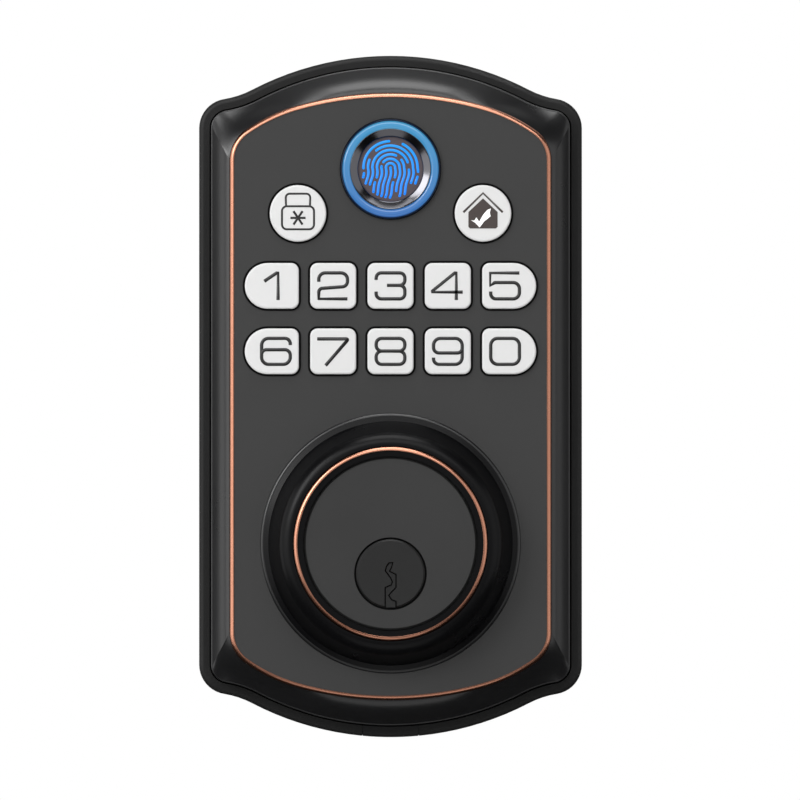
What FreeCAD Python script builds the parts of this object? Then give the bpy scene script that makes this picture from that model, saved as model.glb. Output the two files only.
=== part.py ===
import FreeCAD, Part
import math
import os
import Sketcher
import types

# Keypad smart lock: the outside unit that sits on the face of a door.
# X points right as seen from in front, Z points up and +Y points into the door.
# The origin is the axis of the key cylinder where it meets the face of the door.
# A "level" is a distance in front of the door face, so a level L lies at y = -L.

Vector = FreeCAD.Vector
TOUCH = 1e-4

DIMENSIONS = {
    # Rear housing: the outline, its crowned ends and its depth.
    "plate_width": 71.0,
    "plate_height": 126.4,
    "plate_rise": 27.15,
    "plate_corner": 5.5,
    "plate_shoulder": 17.0,
    "plate_shoulder_run": 9.8,
    "plate_crown_rise": 6.3,
    "gasket_thickness": 1.2,
    "gasket_margin": 1.2,
    "gasket_band": 3.2,
    "floor_thickness": 2.0,
    "housing_depth": 10.5,
    "housing_wall": 1.95,
    "rim_rounding": 0.9,
    # Spigot that drops into the bore of the door.
    "spigot_radius": 26.4,
    "spigot_wall": 1.8,
    "spigot_length": 3.0,
    # Front cover: skirt inside the housing and the sloping bezel.
    "skirt_clearance": 0.15,
    "skirt_wall": 2.0,
    "skirt_overlap": 4.0,
    "skirt_reveal": 5.0,
    "bezel_middle_inset": 1.7,
    "bezel_middle_level": 17.9,
    "face_level": 20.0,
    "trim_width": 0.75,
    "trim_depth": 0.8,
    "trim_proud": 0.15,
    "trim_gap": 0.03,
    "ledge_width": 1.6,
    "ledge_thickness": 3.4,
    # Face panel outline, measured on the middle line of the trim.
    "panel_margin": 6.12,
    "panel_end_margin": 7.41,
    "panel_corner": 6.33,
    "panel_shoulder": 30.7,
    "panel_shoulder_run": 12.26,
    "panel_crown_rise": 2.34,
    "panel_thickness": 2.6,
    "panel_edge": 0.15,
    # Keys.
    "key_width": 8.5,
    "key_height": 8.45,
    "key_corner": 1.4,
    "key_gap": 2.1,
    "key_row_pitch": 12.1,
    "key_row_level": 35.5,
    "end_key_margin": 2.455,
    "round_key_radius": 5.225,
    "round_key_offset": 17.1,
    "round_key_level": 61.0,
    "key_clearance": 0.275,
    "key_proud": 0.9,
    "key_edge": 0.35,
    "key_flange": 0.4,
    "key_flange_thickness": 0.8,
    "key_flange_gap": 0.1,
    "stem_radius": 1.6,
    "stem_length": 0.5,
    "dome_gap": 0.1,
    "dome_radius": 2.4,
    "dome_wall": 0.6,
    # Membrane and circuit board behind the keys.
    "membrane_margin": 2.4,
    "membrane_bottom": 30.6,
    "membrane_top": 66.8,
    "membrane_thickness": 0.8,
    "board_level": 12.8,
    "board_thickness": 1.2,
    "board_margin": 1.45,
    "board_bottom": 25.2,
    "board_overhang": 7.35,
    "board_corner": 4.0,
    "post_radius": 2.0,
    "low_post_margin": 3.0,
    "low_post_level": 28.2,
    "high_post_offset": 12.5,
    "high_post_margin": 2.2,
    "board_screw_radius": 0.95,
    "board_screw_length": 3.4,
    "board_screw_head": 1.9,
    "screw_head_height": 1.2,
    "screw_clearance": 0.05,
    "processor_size": 9.0,
    "processor_thickness": 1.1,
    "processor_offset": 9.0,
    "processor_level": 46.0,
    "radio_width": 13.0,
    "radio_height": 10.0,
    "radio_thickness": 2.2,
    "radio_offset": 12.0,
    "radio_level": 67.5,
    "buzzer_radius": 4.5,
    "buzzer_thickness": 3.6,
    "buzzer_offset": 14.0,
    "header_width": 12.0,
    "header_height": 4.6,
    "header_depth": 5.2,
    "header_level": 34.0,
    "header_pin_recess": 3.6,
    "header_wall": 0.7,
    # Bosses that the cover screws hold.
    "boss_shift": 1.0,
    "boss_radius": 2.2,
    "cover_screw_radius": 1.25,
    "cover_screw_length": 9.0,
    "cover_screw_head": 1.95,
    # Fingerprint reader.
    "finger_level": 69.2,
    "finger_radius": 9.2,
    "finger_clearance": 0.05,
    "finger_proud": 0.9,
    "finger_border": 0.28,
    "finger_depth": 6.6,
    "finger_seat": 1.7,
    "finger_flange": 1.1,
    "finger_flange_thickness": 0.9,
    "finger_floor": 0.8,
    "finger_edge": 0.15,
    "seal_thickness": 0.6,
    "light_ring_width": 1.4,
    "light_ring_drop": 0.12,
    "ring_gap": 0.03,
    "sensor_radius": 6.0,
    "sensor_drop": 1.0,
    "inner_ring_lip": 0.16,
    # Collar round the key cylinder.
    "collar_radius": 23.5,
    "collar_lip": 0.9,
    "collar_lip_height": 0.45,
    "collar_foot_height": 0.8,
    "collar_height": 7.4,
    "collar_top_radius": 20.0,
    "collar_rounding": 2.75,
    "collar_opening": 16.15,
    "collar_lip_thickness": 2.0,
    "collar_trim_inner": 17.3,
    "collar_trim_width": 0.75,
    "collar_trim_depth": 0.5,
    "collar_trim_proud": 0.3,
    "collar_bore": 17.4,
    "collar_neck": 19.4,
    "nut_radius": 22.5,
    "nut_thickness": 3.0,
    "nut_notch_width": 4.0,
    "nut_notch_depth": 1.4,
    "thread_clearance": 0.05,
    # Key cylinder.
    "cylinder_head": 15.9,
    "cylinder_recess": 0.5,
    "cylinder_edge": 0.3,
    "cylinder_shoulder_gap": 0.2,
    "cylinder_shoulder_height": 1.7,
    "cylinder_radius": 14.5,
    "cylinder_rear": 1.5,
    "cylinder_groove": 0.9,
    "cylinder_hole_clearance": 0.5,
    "plug_drop": 5.54,
    "plug_radius": 6.35,
    "plug_clearance": 0.06,
    "bore_step": 0.3,
    "bore_step_depth": 0.8,
    "plug_proud": 0.2,
    "plug_edge": 0.3,
    "plug_rear": 1.0,
    "plug_neck": 4.6,
    "plug_neck_length": 3.0,
    "keyway_width": 2.3,
    "keyway_end": 2.2,
    "first_pin_depth": 6.3,
    "pin_pitch": 3.97,
    "chamber_radius": 1.45,
    "pin_radius": 1.35,
    "pin_shear_gap": 0.2,
    "driver_pin_length": 4.0,
    "spring_radius": 1.15,
    "spring_wall": 0.4,
    "chamber_top": 12.2,
    "chamber_cap_width": 3.6,
    "chamber_cap_length": 19.8,
    "chamber_cap_thickness": 1.2,
    "chamber_cap_clearance": 0.05,
    # Tailpiece and the cap that holds it on the plug.
    "lug_inner": 1.6,
    "lug_outer": 4.2,
    "lug_length": 2.5,
    "lug_angle": 44.0,
    "lug_play": 1.0,
    "lug_end_gap": 0.2,
    "hub_radius": 4.3,
    "hub_thickness": 1.2,
    "blade_width": 6.0,
    "blade_thickness": 1.8,
    "blade_reach": 58.0,
    "blade_bevel": 0.5,
    "tail_cap_radius": 6.8,
    "tail_cap_fit": 0.05,
    "tail_cap_hole_gap": 0.2,
    "tail_cap_lip": 1.0,
    # Mounting posts and the clamp plate under them.
    "bolt_spacing": 40.0,
    "bolt_post_radius": 4.2,
    "bolt_post_reach": 10.0,
    "bolt_flange_radius": 5.2,
    "bolt_flange_thickness": 1.6,
    "bolt_bore": 2.1,
    "bolt_bore_depth": 12.0,
    "bolt_hole_clearance": 0.1,
    "clamp_width": 13.0,
    "clamp_height": 21.0,
    "clamp_thickness": 2.0,
    "clamp_corner": 2.0,
    "clamp_groove_clearance": 0.05,
    # Cable hole with its grommet.
    "cable_slot_width": 12.0,
    "cable_slot_height": 6.8,
    "cable_slot_level": 19.75,
    "grommet_wall": 0.9,
    "grommet_flange": 0.8,
    "grommet_flange_thickness": 0.8,
    # Emergency power socket in the bottom wall and its rubber cover.
    "usb_notch_width": 10.6,
    "usb_cover_gap": 0.12,
    "usb_cover_boss_width": 7.6,
    "usb_cover_boss_height": 2.4,
    "usb_cover_boss_reach": 1.2,
    "usb_board_width": 15.0,
    "usb_board_length": 12.0,
    "usb_board_thickness": 1.0,
    "usb_board_setback": 5.5,
    "usb_shell_width": 8.94,
    "usb_shell_height": 3.26,
    "usb_shell_corner": 1.2,
    "usb_shell_wall": 0.35,
    "usb_shell_length": 7.4,
    "usb_tongue_width": 6.0,
    "usb_tongue_height": 0.7,
    "usb_tongue_inset": 0.8,
}

# Keyway outline as shares of its half width and of the plug radius, from the plug axis.
KEYWAY_PROFILE = [
    (-0.95, -1.05), (-0.95, -0.39), (0.05, -0.31), (0.19, -0.24), (-0.07, -0.13), (-0.95, 0.08),
    (-0.72, 0.23), (-0.30, 0.33), (0.50, 0.34), (0.25, 0.17), (0.00, 0.08), (1.00, -0.01),
    (1.00, -0.41), (0.13, -0.57), (-0.13, -0.63), (0.25, -0.74), (1.00, -0.79), (1.00, -1.05),
]
PIN_COUNT = 5
SETS_OF_PINS = ("key_pins", "driver_pins", "pin_springs")

document = FreeCAD.newDocument("keypad_lock")
sheet = document.addObject("Spreadsheet::Sheet", "Dims")
for row, (alias, number) in enumerate(DIMENSIONS.items(), 1):
    sheet.set(f"A{row}", str(number))
    sheet.setAlias(f"A{row}", alias)
document.recompute()


# A number that also carries the sheet formula it comes from, so that sketches start out exact
# and stay tied to the sheet.
class Size(float):
    def __new__(cls, number, formula):
        size = float.__new__(cls, number)
        size.formula = formula
        return size

    def __add__(self, other):
        return Size(float(self) + float(other), f"({self.formula} + {formula_of(other)})")

    def __radd__(self, other):
        return Size(float(other) + float(self), f"({formula_of(other)} + {self.formula})")

    def __sub__(self, other):
        return Size(float(self) - float(other), f"({self.formula} - {formula_of(other)})")

    def __rsub__(self, other):
        return Size(float(other) - float(self), f"({formula_of(other)} - {self.formula})")

    def __mul__(self, other):
        return Size(float(self) * float(other), f"({self.formula} * {formula_of(other)})")

    def __rmul__(self, other):
        return Size(float(other) * float(self), f"({formula_of(other)} * {self.formula})")

    def __truediv__(self, other):
        return Size(float(self) / float(other), f"({self.formula} / {formula_of(other)})")

    def __neg__(self):
        return Size(-float(self), f"(0 - {self.formula})")


def formula_of(number):
    if isinstance(number, Size):
        return number.formula
    return f"({float(number)!r})"


def cosine(angle):
    return Size(math.cos(math.radians(angle)), f"cos({angle.formula} * 1 deg)")


def sine(angle):
    return Size(math.sin(math.radians(angle)), f"sin({angle.formula} * 1 deg)")


D = types.SimpleNamespace(**{
    alias: Size(number, f"Dims.{alias}") for alias, number in DIMENSIONS.items()
})

# Levels and radii that several pieces share.
floor_top = D.gasket_thickness + D.floor_thickness
rim_front = D.housing_depth
skirt_inset = D.housing_wall + D.skirt_clearance
skirt_rear = rim_front - D.skirt_overlap
bezel_base = rim_front + D.skirt_reveal
bezel_top = D.face_level - D.trim_depth
panel_rear = D.face_level - D.panel_thickness
ledge_rear = panel_rear - D.ledge_thickness
key_top = D.face_level + D.key_proud
flange_front = panel_rear - D.key_flange_gap
flange_rear = flange_front - D.key_flange_thickness
stem_rear = flange_rear - D.stem_length
board_rear = D.board_level - D.board_thickness
membrane_front = D.board_level + D.membrane_thickness
finger_front = D.face_level + D.finger_proud
finger_seat_level = finger_front - D.finger_seat
sensor_level = finger_front - D.sensor_drop
sensor_floor = finger_seat_level - D.finger_floor
light_ring_outer = D.finger_radius - D.finger_border - D.ring_gap
light_ring_inner = light_ring_outer - D.light_ring_width
collar_top = D.face_level + D.collar_height
lip_rear = collar_top - D.collar_lip_thickness
cylinder_front = collar_top - D.cylinder_recess
shoulder_front = lip_rear - D.cylinder_shoulder_gap
shoulder_rear = shoulder_front - D.cylinder_shoulder_height
plug_front = cylinder_front + D.plug_proud
plug_end = D.plug_rear - D.plug_neck_length
plug_bore = D.plug_radius + D.plug_clearance
lug_end = plug_end - D.lug_length
hub_front = lug_end - D.lug_end_gap
hub_rear = hub_front - D.hub_thickness
clamp_front = floor_top + D.clamp_thickness
groove_radius = D.cylinder_radius - D.cylinder_groove
panel_half = D.plate_width / 2 - D.panel_margin
boss_offset = panel_half - D.panel_corner + D.boss_shift
board_half = boss_offset + D.board_margin
key_pitch = D.key_width + D.key_gap
end_key_offset = key_pitch * 2
end_key_centre = panel_half - D.end_key_margin - end_key_offset - D.key_height / 2
membrane_half = end_key_offset + D.dome_radius + D.membrane_margin
plate_bottom = D.plate_rise - D.plate_height / 2
usb_board_front = floor_top + D.usb_board_thickness
usb_level = usb_board_front + D.usb_shell_height / 2
usb_front_end = plate_bottom + D.usb_board_setback


# Drawings. Each one is a function that draws a closed outline about a sketch's own origin.
def datum(sketch, kind, references, size):
    index = sketch.addConstraint(Sketcher.Constraint(kind, *references, float(size)))
    if isinstance(size, Size):
        name = f"{kind}_{index}"
        sketch.renameConstraint(index, name)
        sketch.setExpression(f"Constraints.{name}", size.formula)


def circle(radius):
    def draw(sketch):
        index = sketch.addGeometry(Part.Circle(Vector(), Vector(0, 0, 1), float(radius)), False)
        sketch.addConstraint(Sketcher.Constraint("Coincident", index, 3, -1, 1))
        datum(sketch, "Radius", (index,), radius)
    return draw


def ring(inner, outer):
    def draw(sketch):
        circle(inner)(sketch)
        circle(outer)(sketch)
    return draw


HALF_ROUND = "half round"


# A loop of straight edges and arcs. A radius of None makes the edge from that point straight,
# and every arc bulges outwards on a loop that runs counter-clockwise. A half round stands on
# an upright edge.
def loop(points, radii=None):
    radii = radii or [None] * len(points)

    def draw(sketch):
        first = sketch.GeometryCount
        ends = zip(points, points[1:] + points[:1], radii)
        for start, end, radius in ends:
            a = Vector(float(start[0]), float(start[1]), 0)
            b = Vector(float(end[0]), float(end[1]), 0)
            if radius is None:
                sketch.addGeometry(Part.LineSegment(a, b), False)
                continue
            chord = b - a
            outward = Vector(chord.y, -chord.x, 0).normalize()
            if radius == HALF_ROUND:
                radius = chord.Length / 2
            depth = math.sqrt(max(float(radius) ** 2 - (chord.Length / 2) ** 2, 0))
            centre = (a + b) / 2 - outward * depth
            full = Part.Circle(centre, Vector(0, 0, 1), float(radius))
            from_angle = math.atan2(a.y - centre.y, a.x - centre.x)
            to_angle = math.atan2(b.y - centre.y, b.x - centre.x)
            sketch.addGeometry(Part.ArcOfCircle(full, from_angle, to_angle), False)
        count = len(points)
        for number in range(count):
            follower = (number + 1) % count
            pair = (first + number, 2, first + follower, 1)
            sketch.addConstraint(Sketcher.Constraint("Coincident", *pair))
        for number, (across, up) in enumerate(points):
            datum(sketch, "DistanceX", (-1, 1, first + number, 1), across)
            datum(sketch, "DistanceY", (-1, 1, first + number, 1), up)
            if radii[number] == HALF_ROUND:
                datum(sketch, "DistanceX", (-1, 1, first + number, 3), across)
            elif radii[number] is not None:
                datum(sketch, "Radius", (first + number,), radii[number])
    return draw


def rectangle(width, height):
    x, z = width / 2, height / 2
    return loop([(-x, -z), (x, -z), (x, z), (-x, z)])


def rounded_rectangle(width, height, radius):
    x, z = width / 2, height / 2
    u, v = x - radius, z - radius
    points = [(-u, -z), (u, -z), (x, -v), (x, v), (u, z), (-u, z), (-x, v), (-x, -v)]
    return loop(points, [None, radius] * 4)


# A key for the end of a row: two small corners inside and a half round outside.
def end_key(grow):
    half = D.key_height / 2 + grow
    corner = D.key_corner + grow
    inner = -D.key_width / 2 - grow
    points = [
        (inner + corner, -half), (end_key_centre, -half), (end_key_centre, half),
        (inner + corner, half), (inner, half - corner), (inner, corner - half),
    ]
    return loop(points, [None, HALF_ROUND, None, corner, None, corner])


def square_key(grow):
    width = D.key_width + 2 * grow
    return rounded_rectangle(width, D.key_height + 2 * grow, D.key_corner + grow)


def round_key(grow):
    return circle(D.round_key_radius + grow)


# A piece of a ring between two radii, centred on the given angle.
def sector(inner, outer, middle, width):
    low, high = middle - width / 2, middle + width / 2
    corners = [(inner, low), (outer, low), (outer, high), (inner, high)]
    points = [(radius * cosine(angle), radius * sine(angle)) for radius, angle in corners]
    return loop(points, [None, outer, None, None])


# An upright outline with straight sides and crowned ends. Between crown and corner runs a
# shoulder arc: a negative shoulder radius makes it hollow, a positive one makes it full.
class Arch:
    def __init__(self, half_width, half_height, corner, shoulder, run, rise):
        self.half_width = half_width
        self.half_height = half_height
        self.corner = corner
        self.shoulder = shoulder
        self.crown_half = half_width - run
        self.rise = rise
        self.crown = (self.crown_half * self.crown_half + rise * rise) / (2 * rise)
        self.shoulder_x = self.crown_half * (1 - shoulder / self.crown)

    # Centres of the shoulder and corner arcs in the upper right quarter.
    def centres(self):
        crown, shoulder = float(self.crown), float(self.shoulder)
        drop = (crown - shoulder) * (crown - self.rise) / crown
        high = Vector(float(self.shoulder_x), self.half_height - crown + drop, 0)
        across = self.half_width - self.corner - high.x
        fall = math.sqrt((shoulder - self.corner) ** 2 - float(across) ** 2)
        low = Vector(high.x + across, high.y + math.copysign(fall, shoulder), 0)
        return high, low

    def inset(self, inset):
        def draw(sketch):
            self.draw(sketch, inset)
        return draw

    def draw(self, sketch, inset):
        shoulder_centre, corner_centre = self.centres()
        hollow = self.shoulder < 0
        crown_z = self.half_height - self.crown
        apart = (shoulder_centre - corner_centre).normalize()
        if not hollow:
            apart = -apart
        crown_centre = Vector(0, float(crown_z), 0)
        crown_unit = (shoulder_centre - crown_centre).normalize()
        side = Vector(self.half_width - inset, corner_centre.y, 0)
        turn = corner_centre + apart * float(self.corner - inset)
        crest = crown_centre + crown_unit * float(self.crown - inset)
        corner_radius = self.corner - inset
        crown_radius = self.crown - inset
        shoulder_radius = self.shoulder - inset
        if hollow:
            shoulder_radius = inset - self.shoulder

        def arc(centre, start, end):
            middle = Part.Circle(centre, Vector(0, 0, 1), (start - centre).Length)
            begin = math.atan2(start.y - centre.y, start.x - centre.x)
            finish = math.atan2(end.y - centre.y, end.x - centre.x)
            return sketch.addGeometry(Part.ArcOfCircle(middle, begin, finish), False)

        def flip(point, x_sign, z_sign):
            return Vector(point.x * x_sign, point.y * z_sign, 0)

        edges = []
        corners = []
        shoulders = []
        crowns = []
        sides = []
        for x_sign, z_sign in ((1, 1), (-1, 1), (-1, -1), (1, -1)):
            a, b, c = (flip(point, x_sign, z_sign) for point in (side, turn, crest))
            far = flip(crest, -x_sign, z_sign)
            outward = x_sign == z_sign
            low, high = (flip(point, x_sign, z_sign) for point in (corner_centre, shoulder_centre))
            crown_middle = flip(crown_centre, 1, z_sign)
            corner = arc(low, a, b) if outward else arc(low, b, a)
            along = outward != hollow
            shoulder = arc(high, b, c) if along else arc(high, c, b)
            corners.append(corner)
            shoulders.append(shoulder)
            shoulder_ends = (1, 2) if along else (2, 1)
            if outward:
                edges += [(corner, 1, 2), (shoulder, *shoulder_ends)]
                crown = arc(crown_middle, c, far)
                crowns.append(crown)
                edges.append((crown, 1, 2))
            else:
                edges += [(shoulder, *shoulder_ends[::-1]), (corner, 1, 2)]
                below = flip(a, 1, -1)
                line = sketch.addGeometry(Part.LineSegment(a, below), False)
                sides.append(line)
                edges.append((line, 1, 2))
        for edge, follower in zip(edges, edges[1:] + edges[:1]):
            pair = (edge[0], edge[2], follower[0], follower[1])
            sketch.addConstraint(Sketcher.Constraint("Tangent", *pair))
        signs = ((1, 1), (-1, 1), (-1, -1), (1, -1))
        for number, (x_sign, z_sign) in enumerate(signs):
            datum(sketch, "Radius", (corners[number],), corner_radius)
            datum(sketch, "Radius", (shoulders[number],), shoulder_radius)
            datum(sketch, "DistanceX", (-1, 1, shoulders[number], 3), self.shoulder_x * x_sign)
        for crown, z_sign in zip(crowns, (1, -1)):
            datum(sketch, "Radius", (crown,), crown_radius)
            sketch.addConstraint(Sketcher.Constraint("PointOnObject", crown, 3, -2))
            datum(sketch, "DistanceY", (-1, 1, crown, 3), crown_z * z_sign)
        for line, x_sign in zip(sides, (-1, 1)):
            sketch.addConstraint(Sketcher.Constraint("Vertical", line))
            datum(sketch, "DistanceX", (-1, 1, line, 1), (self.half_width - inset) * x_sign)


plate = Arch(D.plate_width / 2, D.plate_height / 2, D.plate_corner, -D.plate_shoulder,
             D.plate_shoulder_run, D.plate_crown_rise)
panel = Arch(D.plate_width / 2 - D.panel_margin, D.plate_height / 2 - D.panel_end_margin,
             D.panel_corner, D.panel_shoulder, D.panel_shoulder_run, D.panel_crown_rise)


# Features. Each one adds to or cuts from a body between two levels.
def bind(item, path, size):
    if isinstance(size, Size):
        item.setExpression(path, size.formula)


def new_body(label, x=0.0, z=0.0):
    body = document.addObject("PartDesign::Body", label)
    body.Label = label
    body.Placement.Base = Vector(float(x), 0, float(z))
    bind(body, "Placement.Base.x", x)
    bind(body, "Placement.Base.z", z)
    return body


def new_sketch(body, plane_role, draw, offset, rotation=None):
    sketch = body.newObject("Sketcher::SketchObject", body.Label + "_outline")
    plane = [item for item in body.Origin.OriginFeatures if item.Role == plane_role][0]
    sketch.AttachmentSupport = [(plane, "")]
    sketch.MapMode = "FlatFace"
    base = Vector(*(float(size) for size in offset))
    sketch.AttachmentOffset = FreeCAD.Placement(base, rotation or FreeCAD.Rotation())
    for axis, size in zip("xyz", offset):
        bind(sketch, f"AttachmentOffset.Base.{axis}", size)
    draw(sketch)
    return sketch


# A sketch that faces the front. Turned, it is rotated half way round in its own plane.
def front_sketch(body, draw, level, x=0.0, z=0.0, turned=False):
    rotation = FreeCAD.Rotation(Vector(0, 0, 1), 180 if turned else 0)
    return new_sketch(body, "XZ_Plane", draw, (x, z, level), rotation)


def pad(body, draw, low, high, x=0.0, z=0.0, turned=False):
    feature = body.newObject("PartDesign::Pad", body.Label + "_pad")
    feature.Profile = front_sketch(body, draw, low, x, z, turned)
    feature.Length = float(high - low)
    bind(feature, "Length", high - low)
    body.Tip = feature
    return feature


def cut(body, draw, low, high, x=0.0, z=0.0, turned=False):
    feature = body.newObject("PartDesign::Pocket", body.Label + "_pocket")
    feature.Profile = front_sketch(body, draw, high, x, z, turned)
    feature.Length = float(high - low)
    bind(feature, "Length", high - low)
    body.Tip = feature
    return feature


# A hole of any outline that runs straight down from a height, at a level and a place across.
def cut_down(body, draw, level, bottom, top, x=0.0):
    feature = body.newObject("PartDesign::Pocket", body.Label + "_pocket")
    feature.Profile = new_sketch(body, "XY_Plane", draw, (x, -level, top))
    feature.Length = float(top - bottom)
    bind(feature, "Length", top - bottom)
    body.Tip = feature
    return feature


# A solid of any outline that stands up from a height, at a level and a place across.
def pad_up(body, draw, level, bottom, top, x=0.0):
    feature = body.newObject("PartDesign::Pad", body.Label + "_pad")
    feature.Profile = new_sketch(body, "XY_Plane", draw, (x, -level, bottom))
    feature.Length = float(top - bottom)
    bind(feature, "Length", top - bottom)
    body.Tip = feature
    return feature


# A turned solid about the body's own Y axis, from points of radius and level.
def turn(body, points):
    feature = body.newObject("PartDesign::Revolution", body.Label + "_turn")
    half_turn = FreeCAD.Rotation(Vector(1, 0, 0), 180)
    sketch = new_sketch(body, "XY_Plane", loop(points), (0.0, 0.0, 0.0), half_turn)
    feature.Profile = sketch
    feature.ReferenceAxis = (sketch, ["V_Axis"])
    feature.Angle = 360
    body.Tip = feature
    return feature


# Names of the edges round the flat faces at a level: the outer wires or the inner ones.
def edges_round(shape, level, outer=True):
    edges = []
    for face in shape.Faces:
        box = face.BoundBox
        if abs(box.YMin + level) > TOUCH or abs(box.YMax + level) > TOUCH:
            continue
        for wire in face.Wires:
            if wire.isSame(face.OuterWire) == outer:
                edges += wire.Edges
    names = []
    for number, edge in enumerate(shape.Edges, 1):
        if any(edge.isSame(other) for other in edges):
            names.append(f"Edge{number}")
    return names


def dress(body, kind, level, size, outer=True):
    document.recompute()
    base = body.Tip
    feature = body.newObject(f"PartDesign::{kind}", f"{body.Label}_{kind.lower()}")
    feature.Base = (base, edges_round(base.Shape, level, outer))
    path = "Radius" if kind == "Fillet" else "Size"
    setattr(feature, path, float(size))
    bind(feature, path, size)
    body.Tip = feature
    return feature


# Rounds the one circular edge of the given radius at the very front of a turned body.
def round_crown(body, radius, size):
    document.recompute()
    base = body.Tip
    names = []
    for number, edge in enumerate(base.Shape.Edges, 1):
        box = edge.BoundBox
        wide = abs(box.XMax - box.XMin - 2 * radius) < TOUCH
        if wide and abs(box.YMax - box.YMin) < TOUCH:
            names.append(f"Edge{number}")
    feature = body.newObject("PartDesign::Fillet", f"{body.Label}_crown")
    feature.Base = (base, names)
    feature.Radius = float(size)
    bind(feature, "Radius", size)
    body.Tip = feature


def mirrored_places(offset):
    return (("left", -offset), ("right", offset))


# Height of the screw bosses above and below the middle of the plate.
def boss_reach():
    corner = panel.centres()[1]
    return Size(corner.y, formula_of_corner_height(panel)) + D.boss_shift


def board_top():
    return D.plate_rise + boss_reach() + D.board_overhang


def boss_places():
    for x_sign in (-1, 1):
        for z_sign in (-1, 1):
            yield boss_offset * x_sign, D.plate_rise + boss_reach() * z_sign


# Height of an arch's corner centre above its middle, as a sheet formula.
def formula_of_corner_height(arch):
    drop = (arch.crown - arch.shoulder) * (arch.crown - arch.rise) / arch.crown
    across = arch.half_width - arch.corner - arch.shoulder_x
    span = arch.shoulder - arch.corner
    fall = span * span - across * across
    high = arch.half_height - arch.crown + drop
    return f"({high.formula} + sqrt({fall.formula}))"


def post_places():
    for x_sign in (-1, 1):
        yield (board_half - D.low_post_margin) * x_sign, D.low_post_level
        yield D.high_post_offset * x_sign, board_top() - D.high_post_margin


def bolt_places():
    return ((-D.bolt_spacing / 2, "1"), (D.bolt_spacing / 2, "2"))


# Every key: its name, its drawing, where it is and whether its drawing is turned round.
def key_places():
    low = D.key_row_level
    high = D.key_row_level + D.key_row_pitch
    for names, level in ((("key_1", "key_2", "key_3", "key_4", "key_5"), high),
                         (("key_6", "key_7", "key_8", "key_9", "key_0"), low)):
        yield names[0], end_key, -end_key_offset, level, True
        yield names[1], square_key, -key_pitch, level, False
        yield names[2], square_key, 0.0, level, False
        yield names[3], square_key, key_pitch, level, False
        yield names[4], end_key, end_key_offset, level, False
    yield "key_lock", round_key, -D.round_key_offset, D.round_key_level, False
    yield "key_home", round_key, D.round_key_offset, D.round_key_level, False


def pin_levels():
    return [cylinder_front - D.first_pin_depth - D.pin_pitch * n for n in range(PIN_COUNT)]


# Sub-parts.
def mounting_gasket():
    body = new_body("mounting_gasket")
    zero = Size(0.0, "0")
    pad(body, plate.inset(D.gasket_margin), zero, D.gasket_thickness, z=D.plate_rise)
    inner = D.gasket_margin + D.gasket_band
    cut(body, plate.inset(inner), zero, D.gasket_thickness, z=D.plate_rise)


def rear_housing():
    body = new_body("rear_housing")
    zero = Size(0.0, "0")
    pad(body, plate.inset(zero), D.gasket_thickness, rim_front, z=D.plate_rise)
    dress(body, "Fillet", rim_front, D.rim_rounding)
    cut(body, plate.inset(D.housing_wall), floor_top, rim_front, z=D.plate_rise)
    spigot = ring(D.spigot_radius - D.spigot_wall, D.spigot_radius)
    pad(body, spigot, -D.spigot_length, D.gasket_thickness)
    hole = D.cylinder_radius + D.cylinder_hole_clearance
    cut(body, circle(hole), D.gasket_thickness, floor_top)
    for x, name in bolt_places():
        bolt_hole = circle(D.bolt_post_radius + D.bolt_hole_clearance)
        cut(body, bolt_hole, D.gasket_thickness, floor_top, x=x)
    slot = rounded_rectangle(D.cable_slot_width, D.cable_slot_height, D.cable_slot_height / 2.5)
    cut(body, slot, D.gasket_thickness, floor_top, z=D.cable_slot_level)
    for x, z in boss_places():
        screw_hole = circle(D.cover_screw_radius + D.screw_clearance)
        cut(body, screw_hole, D.gasket_thickness, floor_top, x=x, z=z)
        head_hole = circle(D.cover_screw_head + D.screw_clearance)
        head_top = D.gasket_thickness + D.screw_head_height
        cut(body, head_hole, D.gasket_thickness, head_top, x=x, z=z)
    notch = rectangle(D.usb_notch_width, 2 * D.housing_wall + 2 * D.rim_rounding)
    cut(body, notch, floor_top, rim_front, z=plate_bottom)


def front_cover():
    body = new_body("front_cover")
    pad(body, plate.inset(skirt_inset), skirt_rear, bezel_base, z=D.plate_rise)
    loft = body.newObject("PartDesign::AdditiveLoft", "front_cover_bezel")
    middle = plate.inset(skirt_inset + D.bezel_middle_inset)
    crest = panel.inset(-D.trim_width / 2 - D.trim_gap)
    loft.Profile = front_sketch(body, plate.inset(skirt_inset), bezel_base, z=D.plate_rise)
    loft.Sections = [
        front_sketch(body, middle, D.bezel_middle_level, z=D.plate_rise),
        front_sketch(body, crest, bezel_top, z=D.plate_rise),
    ]
    body.Tip = loft
    cavity = plate.inset(skirt_inset + D.skirt_wall)
    cut(body, cavity, skirt_rear, ledge_rear, z=D.plate_rise)
    cut(body, panel.inset(D.ledge_width), ledge_rear, bezel_top, z=D.plate_rise)
    seat = panel.inset(D.trim_width / 2)
    cut(body, seat, panel_rear, bezel_top, z=D.plate_rise)
    notch_height = 2 * (skirt_inset + D.skirt_wall + D.skirt_clearance)
    notch = rectangle(D.usb_notch_width, notch_height)
    cut(body, notch, skirt_rear, rim_front, z=plate_bottom)


def face_trim():
    body = new_body("face_trim")
    trim_top = D.face_level + D.trim_proud
    pad(body, panel.inset(-D.trim_width / 2), bezel_top, trim_top, z=D.plate_rise)
    inner = panel.inset(D.trim_width / 2 - D.trim_gap)
    cut(body, inner, bezel_top, trim_top, z=D.plate_rise)


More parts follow.
